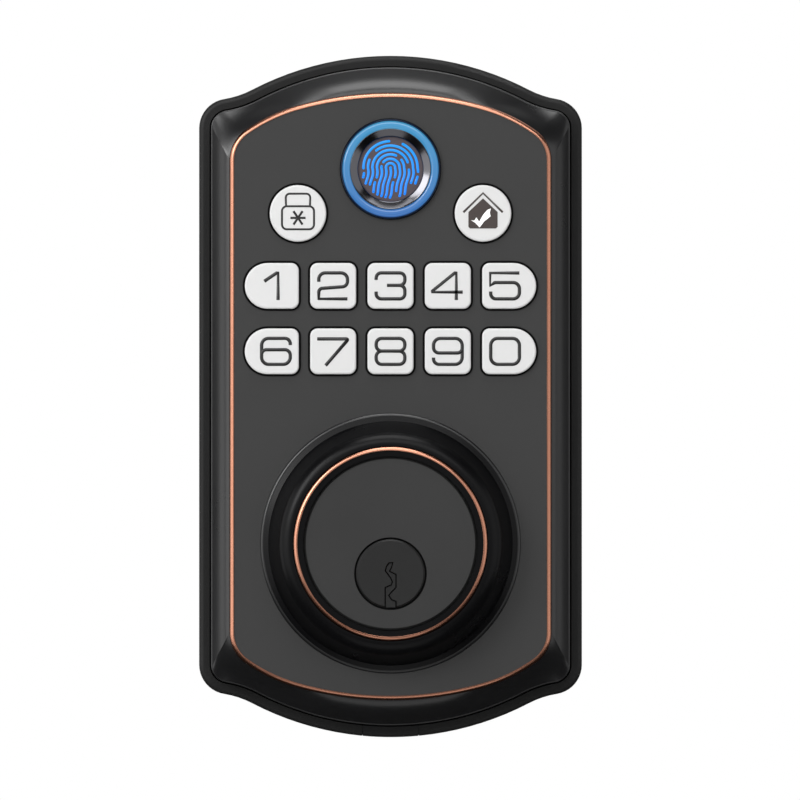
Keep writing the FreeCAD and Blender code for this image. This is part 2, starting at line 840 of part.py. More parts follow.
def face_panel():
    body = new_body("face_panel")
    edge = panel.inset(D.trim_width / 2 + D.trim_gap)
    pad(body, edge, panel_rear, D.face_level, z=D.plate_rise)
    for name, drawing, x, z, turned in key_places():
        cut(body, drawing(D.key_clearance), panel_rear, D.face_level, x, z, turned)
    finger_hole = circle(D.finger_radius + D.finger_clearance)
    cut(body, finger_hole, panel_rear, D.face_level, z=D.finger_level)
    cut(body, circle(D.collar_neck + D.thread_clearance), panel_rear, D.face_level)
    dress(body, "Chamfer", D.face_level, D.panel_edge, outer=False)
    for x, z in boss_places():
        pad(body, circle(D.boss_radius), floor_top, panel_rear, x=x, z=z)
        pilot = circle(D.cover_screw_radius + D.screw_clearance)
        cut(body, pilot, floor_top, floor_top + D.cover_screw_length, x=x, z=z)
    for x, z in post_places():
        pad(body, circle(D.post_radius), D.board_level, panel_rear, x=x, z=z)
        pilot = circle(D.board_screw_radius + D.screw_clearance)
        depth = D.board_screw_length
        cut(body, pilot, D.board_level, D.board_level + depth, x=x, z=z)


def key(name, drawing, x, z, turned):
    body = new_body(name, x=x, z=z)
    none = Size(0.0, "0")
    pad(body, drawing(none), flange_front, key_top, turned=turned)
    dress(body, "Fillet", key_top, D.key_edge)
    flange = drawing(D.key_clearance + D.key_flange)
    pad(body, flange, flange_rear, flange_front, turned=turned)
    pad(body, circle(D.stem_radius), stem_rear, flange_rear)


def key_membrane():
    body = new_body("key_membrane")
    middle = (D.membrane_top + D.membrane_bottom) / 2
    height = D.membrane_top - D.membrane_bottom
    blank = rounded_rectangle(2 * membrane_half, height, D.board_corner)
    pad(body, blank, D.board_level, membrane_front, z=middle)
    dome_top = stem_rear - D.dome_gap
    for name, drawing, x, z, turned in key_places():
        pad(body, circle(D.dome_radius), membrane_front, dome_top, x=x, z=z)
        hollow = circle(D.dome_radius - D.dome_wall)
        cut(body, hollow, D.board_level, dome_top - D.dome_wall, x=x, z=z)


def circuit_board():
    body = new_body("circuit_board")
    middle = (board_top() + D.board_bottom) / 2
    height = board_top() - D.board_bottom
    blank = rounded_rectangle(2 * board_half, height, D.board_corner)
    pad(body, blank, board_rear, D.board_level, z=middle)
    for x, z in post_places():
        hole = circle(D.board_screw_radius + D.screw_clearance)
        cut(body, hole, board_rear, D.board_level, x=x, z=z)
    for x, z in boss_places():
        if z > D.board_bottom:
            around = circle(D.boss_radius + D.key_clearance)
            cut(body, around, board_rear, D.board_level, x=x, z=z)


def board_pieces():
    size = D.processor_size
    processor = new_body("processor_chip")
    rear = board_rear - D.processor_thickness
    pad(processor, rectangle(size, size), rear, board_rear, D.processor_offset, D.processor_level)
    radio = new_body("radio_module")
    can = rectangle(D.radio_width, D.radio_height)
    rear = board_rear - D.radio_thickness
    pad(radio, can, rear, board_rear, -D.radio_offset, D.radio_level)
    dress(radio, "Fillet", rear, D.radio_thickness / 6)
    buzzer = new_body("buzzer")
    rear = board_rear - D.buzzer_thickness
    pad(buzzer, circle(D.buzzer_radius), rear, board_rear, -D.buzzer_offset, D.processor_level)
    vent = circle(D.buzzer_radius / 4)
    cut(buzzer, vent, rear, rear + D.buzzer_thickness / 3, -D.buzzer_offset, D.processor_level)


def cable_header():
    body = new_body("cable_header")
    rear = board_rear - D.header_depth
    shell = rectangle(D.header_width, D.header_height)
    pad(body, shell, rear, board_rear, z=D.header_level)
    inside = rectangle(D.header_width - 2 * D.header_wall, D.header_height - 2 * D.header_wall)
    cut(body, inside, rear, rear + D.header_pin_recess, z=D.header_level)


def screw(name, x, z, radius, head_radius, head_rear, shank_length):
    body = new_body(name, x=x, z=z)
    head_front = head_rear + D.screw_head_height
    pad(body, circle(head_radius), head_rear, head_front)
    pad(body, circle(radius), head_front, head_front + shank_length)
    drive = radius / 2
    cut(body, rectangle(4 * drive, drive), head_rear, head_rear + drive)
    cut(body, rectangle(drive, 4 * drive), head_rear, head_rear + drive)


def cover_screws():
    for number, (x, z) in enumerate(boss_places(), 1):
        length = D.cover_screw_length
        screw(f"cover_screw_{number}", x, z, D.cover_screw_radius, D.cover_screw_head,
              D.gasket_thickness, length)


def board_screws():
    for number, (x, z) in enumerate(post_places(), 1):
        length = D.board_thickness + D.board_screw_length * 0.8
        screw(f"board_screw_{number}", x, z, D.board_screw_radius, D.board_screw_head,
              board_rear - D.screw_head_height, length)


def fingerprint_reader():
    housing = new_body("fingerprint_housing", z=D.finger_level)
    rear = finger_front - D.finger_depth
    flange_top = panel_rear - D.seal_thickness
    flange_low = flange_top - D.finger_flange_thickness
    wide = D.finger_radius + D.finger_flange
    inside = D.finger_radius - D.finger_border
    well = D.sensor_radius + D.ring_gap
    turn(housing, [
        (0.0, rear), (D.finger_radius, rear), (D.finger_radius, flange_low), (wide, flange_low),
        (wide, flange_top), (D.finger_radius, flange_top),
        (D.finger_radius, finger_front - D.finger_edge),
        (D.finger_radius - D.finger_edge, finger_front), (inside, finger_front),
        (inside, finger_seat_level), (well, finger_seat_level), (well, sensor_floor),
        (0.0, sensor_floor),
    ])
    light = new_body("fingerprint_light_ring", z=D.finger_level)
    light_top = finger_front - D.light_ring_drop
    pad(light, ring(light_ring_inner, light_ring_outer), finger_seat_level, light_top)
    inner = new_body("fingerprint_inner_ring", z=D.finger_level)
    outside = light_ring_inner - D.ring_gap
    turn(inner, [
        (well, finger_seat_level), (outside, finger_seat_level), (outside, finger_front),
        (outside - D.inner_ring_lip, finger_front), (well, sensor_level),
    ])
    sensor = new_body("fingerprint_sensor", z=D.finger_level)
    pad(sensor, circle(D.sensor_radius), sensor_floor, sensor_level)
    seal = new_body("fingerprint_seal", z=D.finger_level)
    pad(seal, ring(D.finger_radius + D.finger_clearance, wide), flange_top, panel_rear)


def cylinder_collar():
    body = new_body("cylinder_collar")
    foot = D.face_level + D.collar_foot_height
    brim = D.face_level + D.collar_lip_height
    neck_rear = panel_rear - D.nut_thickness
    trim_outer = D.collar_trim_inner + D.collar_trim_width
    trim_floor = collar_top - D.collar_trim_depth
    turn(body, [
        (D.collar_radius, D.face_level), (D.collar_radius, brim),
        (D.collar_radius - D.collar_lip, foot), (D.collar_top_radius, collar_top),
        (trim_outer, collar_top), (trim_outer, trim_floor),
        (D.collar_trim_inner, trim_floor), (D.collar_trim_inner, collar_top),
        (D.collar_opening, collar_top), (D.collar_opening, lip_rear),
        (D.collar_bore, lip_rear), (D.collar_bore, neck_rear),
        (D.collar_neck, neck_rear), (D.collar_neck, D.face_level),
    ])
    round_crown(body, D.collar_top_radius, D.collar_rounding)
    trim = new_body("collar_trim")
    inner = D.collar_trim_inner + D.trim_gap
    outer = trim_outer - D.trim_gap
    trim_top = collar_top + D.collar_trim_proud
    pad(trim, ring(inner, outer), trim_floor, trim_top)
    dress(trim, "Fillet", trim_top, D.collar_trim_width / 3)
    nut = new_body("collar_nut")
    pad(nut, ring(D.collar_neck + D.thread_clearance, D.nut_radius), neck_rear, panel_rear)
    for x, z, upright in ((0.0, D.nut_radius, True), (0.0, -D.nut_radius, True),
                          (D.nut_radius, 0.0, False), (-D.nut_radius, 0.0, False)):
        sides = (D.nut_notch_width, 2 * D.nut_notch_depth)
        notch = rectangle(*(sides if upright else sides[::-1]))
        cut(nut, notch, neck_rear, panel_rear, x=x, z=z)


def cylinder_body():
    body = new_body("cylinder_body")
    rear = D.cylinder_rear
    shoulder = D.collar_bore - D.cylinder_shoulder_gap
    head_edge = D.cylinder_head - D.cylinder_edge
    turn(body, [
        (0.0, rear), (D.cylinder_radius, rear), (D.cylinder_radius, floor_top),
        (groove_radius, floor_top), (groove_radius, clamp_front),
        (D.cylinder_radius, clamp_front), (D.cylinder_radius, shoulder_rear),
        (shoulder, shoulder_rear), (shoulder, shoulder_front),
        (D.cylinder_head, shoulder_front), (D.cylinder_head, cylinder_front - D.cylinder_edge),
        (head_edge, cylinder_front), (0.0, cylinder_front),
    ])
    cut(body, circle(plug_bore), rear, cylinder_front, z=-D.plug_drop)
    step = cylinder_front - D.bore_step_depth
    cut(body, circle(plug_bore + D.bore_step), step, cylinder_front, z=-D.plug_drop)
    for level in pin_levels():
        cut_down(body, circle(D.chamber_radius), level, -D.plug_drop, D.cylinder_radius)
    groove = rectangle(D.chamber_cap_width, D.chamber_cap_length)
    cut_down(body, groove, pin_levels()[2], D.chamber_top, D.cylinder_radius)


def chamber_pieces():
    cap = new_body("chamber_cap")
    slim = D.chamber_cap_width - 2 * D.chamber_cap_clearance
    length = D.chamber_cap_length - 2 * D.chamber_cap_clearance
    cap_top = D.chamber_top + D.chamber_cap_thickness
    pad_up(cap, rectangle(slim, length), pin_levels()[2], D.chamber_top, cap_top)
    driver_bottom = plug_bore - D.plug_drop
    driver_top = driver_bottom + D.driver_pin_length
    drivers = new_body("driver_pins")
    springs = new_body("pin_springs")
    for level in pin_levels():
        pad_up(drivers, circle(D.pin_radius), level, driver_bottom, driver_top)
        tube = ring(D.spring_radius - D.spring_wall, D.spring_radius)
        pad_up(springs, tube, level, driver_top, D.chamber_top)


def plug():
    body = new_body("plug", z=-D.plug_drop)
    edge = D.plug_edge
    turn(body, [
        (0.0, plug_end), (D.plug_neck, plug_end), (D.plug_neck, D.plug_rear),
        (D.plug_radius, D.plug_rear), (D.plug_radius, plug_front - edge),
        (D.plug_radius - edge, plug_front), (0.0, plug_front),
    ])
    half = D.keyway_width / 2
    keyway = [(half * across, D.plug_radius * up) for across, up in KEYWAY_PROFILE]
    cut(body, loop(keyway), D.keyway_end, plug_front)
    zero = Size(0.0, "0")
    for level in pin_levels():
        cut_down(body, circle(D.chamber_radius), level, zero, D.plug_radius)
    start = Size(0.0, "0")
    for middle in (start, start + 180):
        lug = sector(D.lug_inner, D.lug_outer, middle, D.lug_angle)
        pad(body, lug, lug_end, plug_end)


def key_pins():
    body = new_body("key_pins", z=-D.plug_drop)
    zero = Size(0.0, "0")
    for level in pin_levels():
        pad_up(body, circle(D.pin_radius), level, zero, D.plug_radius - D.pin_shear_gap)


def tailpiece():
    body = new_body("tailpiece", z=-D.plug_drop)
    pad(body, circle(D.hub_radius), hub_rear, hub_front)
    start = D.lug_angle + D.lug_play
    for middle in (start, start + 180):
        lug = sector(D.lug_inner, D.lug_outer, middle, D.lug_angle)
        pad(body, lug, hub_front, plug_end - D.lug_end_gap)
    blade = rectangle(D.blade_width, D.blade_thickness)
    pad(body, blade, -D.blade_reach, hub_rear)
    dress(body, "Chamfer", -D.blade_reach, D.blade_bevel)
    cap = new_body("tail_cap", z=-D.plug_drop)
    inside = D.plug_neck + D.tail_cap_fit
    lip_front = hub_rear - D.lug_end_gap
    lip_end = lip_front - D.tail_cap_lip
    hole = D.blade_width / 2 + D.tail_cap_hole_gap + D.tail_cap_fit
    turn(cap, [
        (hole, lip_end), (D.tail_cap_radius, lip_end), (D.tail_cap_radius, D.plug_rear),
        (inside, D.plug_rear), (inside, lip_front), (hole, lip_front),
    ])


# One plate each side. Its hollow edge grips the groove of the cylinder.
def clamp_plates():
    blank = rounded_rectangle(D.clamp_width, D.clamp_height, D.clamp_corner)
    for x, name in bolt_places():
        body = new_body(f"clamp_plate_{name}")
        pad(body, blank, floor_top, clamp_front, x=x)
        grip = groove_radius + D.clamp_groove_clearance
        cut(body, circle(grip), floor_top, clamp_front)
        hole = circle(D.bolt_post_radius + D.bolt_hole_clearance)
        cut(body, hole, floor_top, clamp_front, x=x)


def mounting_posts():
    for x, name in bolt_places():
        body = new_body(f"mounting_post_{name}", x=x)
        flange_top = clamp_front + D.bolt_flange_thickness
        pad(body, circle(D.bolt_post_radius), -D.bolt_post_reach, clamp_front)
        pad(body, circle(D.bolt_flange_radius), clamp_front, flange_top)
        deep = D.bolt_bore_depth - D.bolt_post_reach
        cut(body, circle(D.bolt_bore), -D.bolt_post_reach, deep)


def cable_grommet():
    body = new_body("cable_grommet")
    wide, tall = D.cable_slot_width, D.cable_slot_height
    corner = D.cable_slot_height / 2.5
    rim = D.grommet_flange
    rear = D.gasket_thickness
    top = floor_top + D.grommet_flange_thickness
    pad(body, rounded_rectangle(wide, tall, corner), rear, floor_top, z=D.cable_slot_level)
    brim = rounded_rectangle(wide + 2 * rim, tall + 2 * rim, corner + rim)
    pad(body, brim, floor_top, top, z=D.cable_slot_level)
    wall = D.grommet_wall
    opening = rounded_rectangle(wide - 2 * wall, tall - 2 * wall, corner - wall)
    cut(body, opening, rear, top, z=D.cable_slot_level)


def usb_cover():
    body = new_body("usb_cover")
    gap = D.usb_cover_gap
    zero = Size(0.0, "0")
    bottom = floor_top + gap
    pad(body, plate.inset(zero), bottom, rim_front, z=D.plate_rise)
    dress(body, "Fillet", rim_front, D.rim_rounding)
    cut(body, plate.inset(D.housing_wall), bottom, rim_front, z=D.plate_rise)
    upper = rectangle(2 * D.plate_width, D.plate_height)
    above = plate_bottom + D.plate_height / 2 + 2 * D.housing_wall
    cut(body, upper, bottom, rim_front, z=above)
    side_width = D.plate_width
    side_x = D.usb_notch_width / 2 - gap + side_width / 2
    for name, x in mirrored_places(side_x):
        side = rectangle(side_width, D.plate_height)
        cut(body, side, bottom, rim_front, x=x, z=plate_bottom)
    boss = rounded_rectangle(D.usb_cover_boss_width, D.usb_cover_boss_height,
                             D.usb_cover_boss_height / 2.5)
    inner = plate_bottom + D.housing_wall
    reach = inner + D.usb_cover_boss_reach
    pad_up(body, boss, usb_level, inner - D.housing_wall / 2, reach)


def usb_socket():
    board = new_body("usb_board")
    middle = usb_front_end + D.usb_board_length / 2
    blank = rectangle(D.usb_board_width, D.usb_board_length)
    pad(board, blank, floor_top, usb_board_front, z=middle)
    shell = new_body("usb_socket")
    wide, tall, wall = D.usb_shell_width, D.usb_shell_height, D.usb_shell_wall
    end = usb_front_end + D.usb_shell_length
    outline = rounded_rectangle(wide, tall, D.usb_shell_corner)
    pad_up(shell, outline, usb_level, usb_front_end, end)
    inside = rounded_rectangle(wide - 2 * wall, tall - 2 * wall, D.usb_shell_corner - wall)
    cut_down(shell, inside, usb_level, usb_front_end, end - wall)
    tongue = rectangle(D.usb_tongue_width, D.usb_tongue_height)
    pad_up(shell, tongue, usb_level, usb_front_end + D.usb_tongue_inset, end - wall)


def build():
    mounting_gasket()
    rear_housing()
    front_cover()
    face_trim()
    face_panel()
    for name, drawing, x, z, turned in key_places():
        key(name, drawing, x, z, turned)
    key_membrane()
    circuit_board()
    board_pieces()
    cable_header()
    cover_screws()
    board_screws()
    fingerprint_reader()
    cylinder_collar()
    cylinder_body()
    chamber_pieces()
    plug()
    key_pins()
    tailpiece()
    clamp_plates()
    mounting_posts()
    cable_grommet()
    usb_cover()
    usb_socket()
    document.recompute()


# Stops with a message if a feature failed, a cut removed nothing or a shape isn't sound.
def check():
    for item in document.Objects:
        faults = {"Invalid", "Error"} & set(item.State)
        if faults:
            raise RuntimeError(f"{item.Label}: {', '.join(faults)}")
    for item in document.Objects:
        if item.TypeId == "PartDesign::Pocket":
            base = item.BaseFeature
            if item.Shape.Volume > base.Shape.Volume - TOUCH:
                raise RuntimeError(f"{item.Label} cuts nothing")
    for body in bodies():
        if body.Shape.isNull() or not body.Shape.isValid():
            raise RuntimeError(f"{body.Label}: its shape isn't sound")
        expected = PIN_COUNT if body.Label in SETS_OF_PINS else 1
        if len(body.Shape.Solids) != expected:
            raise RuntimeError(f"{body.Label}: {len(body.Shape.Solids)} solids")


def bodies():
    return [item for item in document.Objects if item.TypeId == "PartDesign::Body"]


build()
check()
os.makedirs("parts", exist_ok=True)
for body in bodies():
    body.Shape.exportStep(f"parts/{body.Label}.step")
print(f"{len(bodies())} sub-parts")
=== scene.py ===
# %% [markdown]
# # A keypad door lock, dressed for its picture
# The lock arrives as a finished engineering model: every solid piece is already in its place,
# in metres. This lesson gives the pieces their paint, plastic and metal, swaps a few plain ones
# for better shaped ones, prints the key legends and lights the whole thing softly.
# Opening the model first keeps one rule in sight: sizes come from it, never from guesswork.

# %% Open the model
import math
import bmesh
import bpy
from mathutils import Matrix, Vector


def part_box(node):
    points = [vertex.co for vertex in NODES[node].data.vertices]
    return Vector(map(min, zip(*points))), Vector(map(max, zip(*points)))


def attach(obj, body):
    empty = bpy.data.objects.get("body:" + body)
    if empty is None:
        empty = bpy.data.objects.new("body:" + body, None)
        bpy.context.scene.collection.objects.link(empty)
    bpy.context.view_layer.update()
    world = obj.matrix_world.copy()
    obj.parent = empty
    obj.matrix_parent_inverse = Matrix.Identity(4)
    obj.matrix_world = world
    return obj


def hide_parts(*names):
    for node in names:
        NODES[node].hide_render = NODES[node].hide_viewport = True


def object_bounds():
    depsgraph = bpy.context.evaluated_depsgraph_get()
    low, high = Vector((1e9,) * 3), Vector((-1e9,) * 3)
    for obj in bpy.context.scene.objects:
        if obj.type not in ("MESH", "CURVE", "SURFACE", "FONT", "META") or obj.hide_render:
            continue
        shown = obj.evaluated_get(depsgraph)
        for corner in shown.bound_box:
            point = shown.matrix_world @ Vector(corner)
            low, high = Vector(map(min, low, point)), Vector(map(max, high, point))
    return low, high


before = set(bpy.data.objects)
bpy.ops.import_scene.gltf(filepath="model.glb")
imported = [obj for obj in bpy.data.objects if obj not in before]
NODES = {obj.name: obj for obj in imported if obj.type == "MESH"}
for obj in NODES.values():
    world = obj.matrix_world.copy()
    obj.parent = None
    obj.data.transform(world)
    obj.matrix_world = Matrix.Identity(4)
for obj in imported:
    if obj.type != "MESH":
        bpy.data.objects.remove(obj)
cad_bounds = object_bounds()
MM = 0.001
WANTED = {n: [h.material.name for h in o.material_slots] for n, o in NODES.items()}
for packed in list(bpy.data.materials):
    packed.name = "packed_" + packed.name

# %% [markdown]
# ## Grain shared by the finishes
# No real surface has one colour. Moulded plastic has a very fine spark texture, paint has
# orange peel and rubber is dusty. One small group of shader nodes makes that unevenness from two
# noises, a broad and a fine one, so each finish only chooses how large and how strong it is.
# A group is better than copied nodes here, because every finish uses it.

# %% Group: grain
def socket(tree, kind, name, shape, value=None):
    item = tree.interface.new_socket(name=name, in_out=kind, socket_type=shape)
    if value is not None:
        item.default_value = value
    return item


def join(tree, source, output, target, entry):
    tree.links.new(source.outputs[output], target.inputs[entry])


def grain_group():
    tree = bpy.data.node_groups.new("grain", "ShaderNodeTree")
    socket(tree, "INPUT", "Place", "NodeSocketVector")
    socket(tree, "INPUT", "Broad Scale", "NodeSocketFloat", 60.0)
    socket(tree, "INPUT", "Fine Scale", "NodeSocketFloat", 2500.0)
    socket(tree, "INPUT", "Fine Share", "NodeSocketFloat", 0.5)
    socket(tree, "OUTPUT", "Shade", "NodeSocketFloat")
    socket(tree, "OUTPUT", "Height", "NodeSocketFloat")
    entry = tree.nodes.new("NodeGroupInput")
    leave = tree.nodes.new("NodeGroupOutput")
    broad = tree.nodes.new("ShaderNodeTexNoise")
    fine = tree.nodes.new("ShaderNodeTexNoise")
    broad.inputs["Detail"].default_value = 3.0
    fine.inputs["Detail"].default_value = 2.0
    mix = tree.nodes.new("ShaderNodeMix")
    join(tree, entry, "Place", broad, "Vector")
    join(tree, entry, "Place", fine, "Vector")
    join(tree, entry, "Broad Scale", broad, "Scale")
    join(tree, entry, "Fine Scale", fine, "Scale")
    join(tree, entry, "Fine Share", mix, "Factor")
    tree.links.new(broad.outputs["Fac"], mix.inputs["A"])
    tree.links.new(fine.outputs["Fac"], mix.inputs["B"])
    tree.links.new(mix.outputs["Result"], leave.inputs["Shade"])
    tree.links.new(fine.outputs["Fac"], leave.inputs["Height"])
    return tree


GRAIN = grain_group()
print("group", GRAIN.name, [i.name for i in GRAIN.interface.items_tree])

# %% [markdown]
# ## Handling marks shared by the finishes
# Fingers polish some places and dull others, so gloss drifts over a surface much more slowly
# than grain does. Painting a gloss map by hand would tie it to one piece, so a second group
# turns one slow noise into a roughness between two limits, which suits a piece of any size.

# %% Group: handling
def handling_group():
    tree = bpy.data.node_groups.new("handling", "ShaderNodeTree")
    socket(tree, "INPUT", "Place", "NodeSocketVector")
    socket(tree, "INPUT", "Patch Scale", "NodeSocketFloat", 45.0)
    socket(tree, "INPUT", "Polished", "NodeSocketFloat", 0.3)
    socket(tree, "INPUT", "Dull", "NodeSocketFloat", 0.4)
    socket(tree, "OUTPUT", "Roughness", "NodeSocketFloat")
    entry = tree.nodes.new("NodeGroupInput")
    leave = tree.nodes.new("NodeGroupOutput")
    patches = tree.nodes.new("ShaderNodeTexNoise")
    patches.inputs["Detail"].default_value = 5.0
    patches.inputs["Roughness"].default_value = 0.6
    span = tree.nodes.new("ShaderNodeMapRange")
    span.inputs["From Min"].default_value = 0.35
    span.inputs["From Max"].default_value = 0.65
    join(tree, entry, "Place", patches, "Vector")
    join(tree, entry, "Patch Scale", patches, "Scale")
    tree.links.new(patches.outputs["Fac"], span.inputs["Value"])
    join(tree, entry, "Polished", span, "To Min")
    join(tree, entry, "Dull", span, "To Max")
    tree.links.new(span.outputs["Result"], leave.inputs["Roughness"])
    return tree


HANDLING = handling_group()
print("group", HANDLING.name, [i.name for i in HANDLING.interface.items_tree])

# %% [markdown]
# ## One recipe for every finish
# Each finish is a Principled shader fed by the two groups. The recipe takes two near colours,
# a roughness range and a bump depth, reads Object coordinates so that a pattern stays put on its
# piece, and sets what is the same all over, such as metallic or coat, straight on the shader.

# %% Finish recipe
FINISHES = {}
COAT_ROUGHNESS = 0.08


def linear(code):
    parts = [int(code[n:n + 2], 16) / 255 for n in (0, 2, 4)]
    return [c / 12.92 if c <= 0.04045 else ((c + 0.055) / 1.055) ** 2.4 for c in parts] + [1.0]


def finish(name, main, other, rough, grain=(60.0, 2500.0, 0.5), bump=0.05, depth=0.02,
           metallic=0.0, coat=0.0, specular=0.5, patch=45.0):
    material = bpy.data.materials.new(name)
    material.use_nodes = True
    tree = material.node_tree
    shader = tree.nodes["Principled BSDF"]
    place = tree.nodes.new("ShaderNodeTexCoord")
    speck = tree.nodes.new("ShaderNodeGroup")
    speck.node_tree = GRAIN
    for entry, value in zip(("Broad Scale", "Fine Scale", "Fine Share"), grain):
        speck.inputs[entry].default_value = value
    touch = tree.nodes.new("ShaderNodeGroup")
    touch.node_tree = HANDLING
    touch.inputs["Patch Scale"].default_value = patch
    touch.inputs["Polished"].default_value = rough[0]
    touch.inputs["Dull"].default_value = rough[1]
    blend = tree.nodes.new("ShaderNodeMix")
    blend.data_type = "RGBA"
    blend.inputs["A"].default_value = linear(main)
    blend.inputs["B"].default_value = linear(other)
    relief = tree.nodes.new("ShaderNodeBump")
    relief.inputs["Strength"].default_value = bump
    relief.inputs["Distance"].default_value = depth * MM
    join(tree, place, "Object", speck, "Place")
    join(tree, place, "Object", touch, "Place")
    join(tree, speck, "Shade", blend, "Factor")
    tree.links.new(blend.outputs["Result"], shader.inputs["Base Color"])
    join(tree, touch, "Roughness", shader, "Roughness")
    join(tree, speck, "Height", relief, "Height")
    join(tree, relief, "Normal", shader, "Normal")
    shader.inputs["Metallic"].default_value = metallic
    shader.inputs["Coat Weight"].default_value = coat
    shader.inputs["Coat Roughness"].default_value = COAT_ROUGHNESS
    shader.inputs["Specular IOR Level"].default_value = specular
    FINISHES[name] = material
    return material


print("recipe ready")

# %% [markdown]
# ## The painted body
# The housing, its cover and the face are one dark colour but not one finish: the housing and
# cover are smooth satin paint that rolls highlights round the edges, and the face panel is a
# finer, more matt coat that stays an even grey. The copper rings are polished plating.

# %% Body finishes
finish("housing_finish", "151515", "1a1a1a", (0.46, 0.52), (40.0, 2600.0, 0.5), 0.08,
       specular=0.2)
finish("cover_finish", "0e0e0f", "121213", (0.27, 0.32), (35.0, 2400.0, 0.4), 0.05)
finish("panel_finish", "262626", "2a2a2a", (0.5, 0.56), (30.0, 3200.0, 0.6), 0.12,
       specular=0.36)
finish("copper_trim", "b47c65", "bd866f", (0.24, 0.3), (80.0, 1800.0, 0.3), 0.03,
       metallic=1.0)
finish("cylinder_finish", "232323", "272727", (0.42, 0.5), (50.0, 2200.0, 0.5), 0.1,
       specular=0.36)
finish("plug_finish", "141414", "181818", (0.45, 0.52), (50.0, 2200.0, 0.5), 0.1,
       specular=0.3)
finish("key_plastic", "b4b4b4", "bababa", (0.3, 0.36), (30.0, 1500.0, 0.4), 0.03)
print("finishes", len(FINISHES))

# %% [markdown]
# ## The working parts
# Behind the face there are rubber, foam, laminate, plated steel and brass. They show from the
# back and through the openings, so each has its own colours and grain as well: foam is coarse,
# laminate is green and a little glossy, springs are bright, brass is warm and slightly
# tarnished. The printing inks and the glass of the reader are mixed here too.

# %% Working finishes
finish("gasket_foam", "1c1c1d", "2a2a2b", (0.85, 0.95), (300.0, 1400.0, 0.7), 0.6, 0.08)
finish("membrane_rubber", "c9cac6", "bdbeb9", (0.6, 0.7), (90.0, 1600.0, 0.5), 0.15)
finish("cover_rubber", "141415", "1a1a1b", (0.5, 0.58), (60.0, 2200.0, 0.5), 0.2, specular=0.2)
finish("board_laminate", "0f3d2a", "15503a", (0.35, 0.45), (120.0, 900.0, 0.5), 0.1, coat=0.3)
finish("chip_plastic", "161617", "202021", (0.5, 0.6), (200.0, 3000.0, 0.6), 0.2)
finish("connector_plastic", "e3dfd2", "d6d1c2", (0.45, 0.55), (70.0, 1500.0, 0.4), 0.05)
finish("reader_plastic", "03142a", "051a34", (0.2, 0.26), (60.0, 1500.0, 0.3), 0.02, specular=0.25)
finish("dark_chrome", "545458", "5c5c60", (0.13, 0.17), (60.0, 1500.0, 0.3), 0.01, metallic=1.0)
finish("collar_finish", "060607", "09090a", (0.26, 0.32), (35.0, 2400.0, 0.4), 0.05, specular=0.11)
# The near-black finish on the next line is painted shade, laid into gaps and slots where there
# would only be shade.
finish("gap_rubber", "050505", "090909", (0.7, 0.8), (80.0, 2000.0, 0.5), 0.1, specular=0.1)
finish("plated_steel", "a9abad", "b9bbbd", (0.25, 0.38), (90.0, 1900.0, 0.5), 0.08, metallic=1.0)
finish("spring_steel", "8d8f92", "a3a5a8", (0.2, 0.3), (150.0, 2600.0, 0.5), 0.05, metallic=1.0)
finish("brass", "b08d4a", "a37f3e", (0.25, 0.4), (110.0, 2100.0, 0.5), 0.08, metallic=1.0)
finish("legend_ink", "0e0e0e", "131313", (0.4, 0.5), (90.0, 2600.0, 0.5), 0.05)
finish("house_ink", "2f2725", "3a312e", (0.4, 0.5), (90.0, 2600.0, 0.5), 0.05)
finish("check_ink", "f4f4f4", "ffffff", (0.4, 0.5), (90.0, 2600.0, 0.5), 0.05)
finish("sensor_glass", "3c343a", "443b41", (0.35, 0.42), (80.0, 2000.0, 0.4), 0.03)
print("finishes", len(FINISHES))

# %% [markdown]
# ## The parts that glow
# The reader has a ring and a print pattern lit from behind, greener at the top than below. Lamps
# inside would need glass to shine through, so the glow is an emission whose colour drifts with
# height on the piece, read from Object coordinates with a Mapping that puts zero at the middle
# of the reader. The strength is the same all over, so it is set on the shader. The keys get a
# faint even white glow, which is painted light that brightens their plastic.

# %% Glow
def glow(name, low, high, strength):
    material = FINISHES[name]
    tree = material.node_tree
    shader = tree.nodes["Principled BSDF"]
    lo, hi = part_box("fingerprint_light_ring")
    place = tree.nodes.new("ShaderNodeTexCoord")
    centre = tree.nodes.new("ShaderNodeMapping")
    centre.inputs["Location"].default_value = (0.0, 0.0, -(lo.z + hi.z) / 2)
    split = tree.nodes.new("ShaderNodeSeparateXYZ")
    span = tree.nodes.new("ShaderNodeMapRange")
    span.inputs["From Min"].default_value = -(hi.z - lo.z) / 2
    span.inputs["From Max"].default_value = (hi.z - lo.z) / 2
    blend = tree.nodes.new("ShaderNodeMix")
    blend.data_type = "RGBA"
    blend.inputs["A"].default_value = linear(low)
    blend.inputs["B"].default_value = linear(high)
    join(tree, place, "Object", centre, "Vector")
    join(tree, centre, "Vector", split, "Vector")
    join(tree, split, "Z", span, "Value")
    tree.links.new(span.outputs["Result"], blend.inputs["Factor"])
    tree.links.new(blend.outputs["Result"], shader.inputs["Emission Color"])
    shader.inputs["Emission Strength"].default_value = strength


finish("light_ring", "12304e", "163858", (0.12, 0.18), (60.0, 1500.0, 0.3), 0.02, coat=0.4)
glow("light_ring", "3f6fb6", "4a9fca", 0.8)
finish("ridge_glow", "041c40", "06224c", (0.3, 0.4), (60.0, 1500.0, 0.3), 0.02)
glow("ridge_glow", "0078ff", "00a8ff", 1.0)
# The white glow on the keys is painted light: it lifts their brightness, with no lamp inside.
KEY_GLOW_LIFT = 0.06
key_glow_inputs = FINISHES["key_plastic"].node_tree.nodes["Principled BSDF"].inputs
key_glow_inputs["Emission Color"].default_value = linear("ffffff")
key_glow_inputs["Emission Strength"].default_value = KEY_GLOW_LIFT
print("glowing", ["light_ring", "ridge_glow", "key_plastic"])

# %% [markdown]
# ## Dress the pieces that keep their shape
# The engineering model already names a finish for every piece, so dressing is a look-up: the
# new material takes the old one's place in the object's slot and the mesh is left alone. The
# collar alone gets a deeper black than the cylinder that it surrounds.

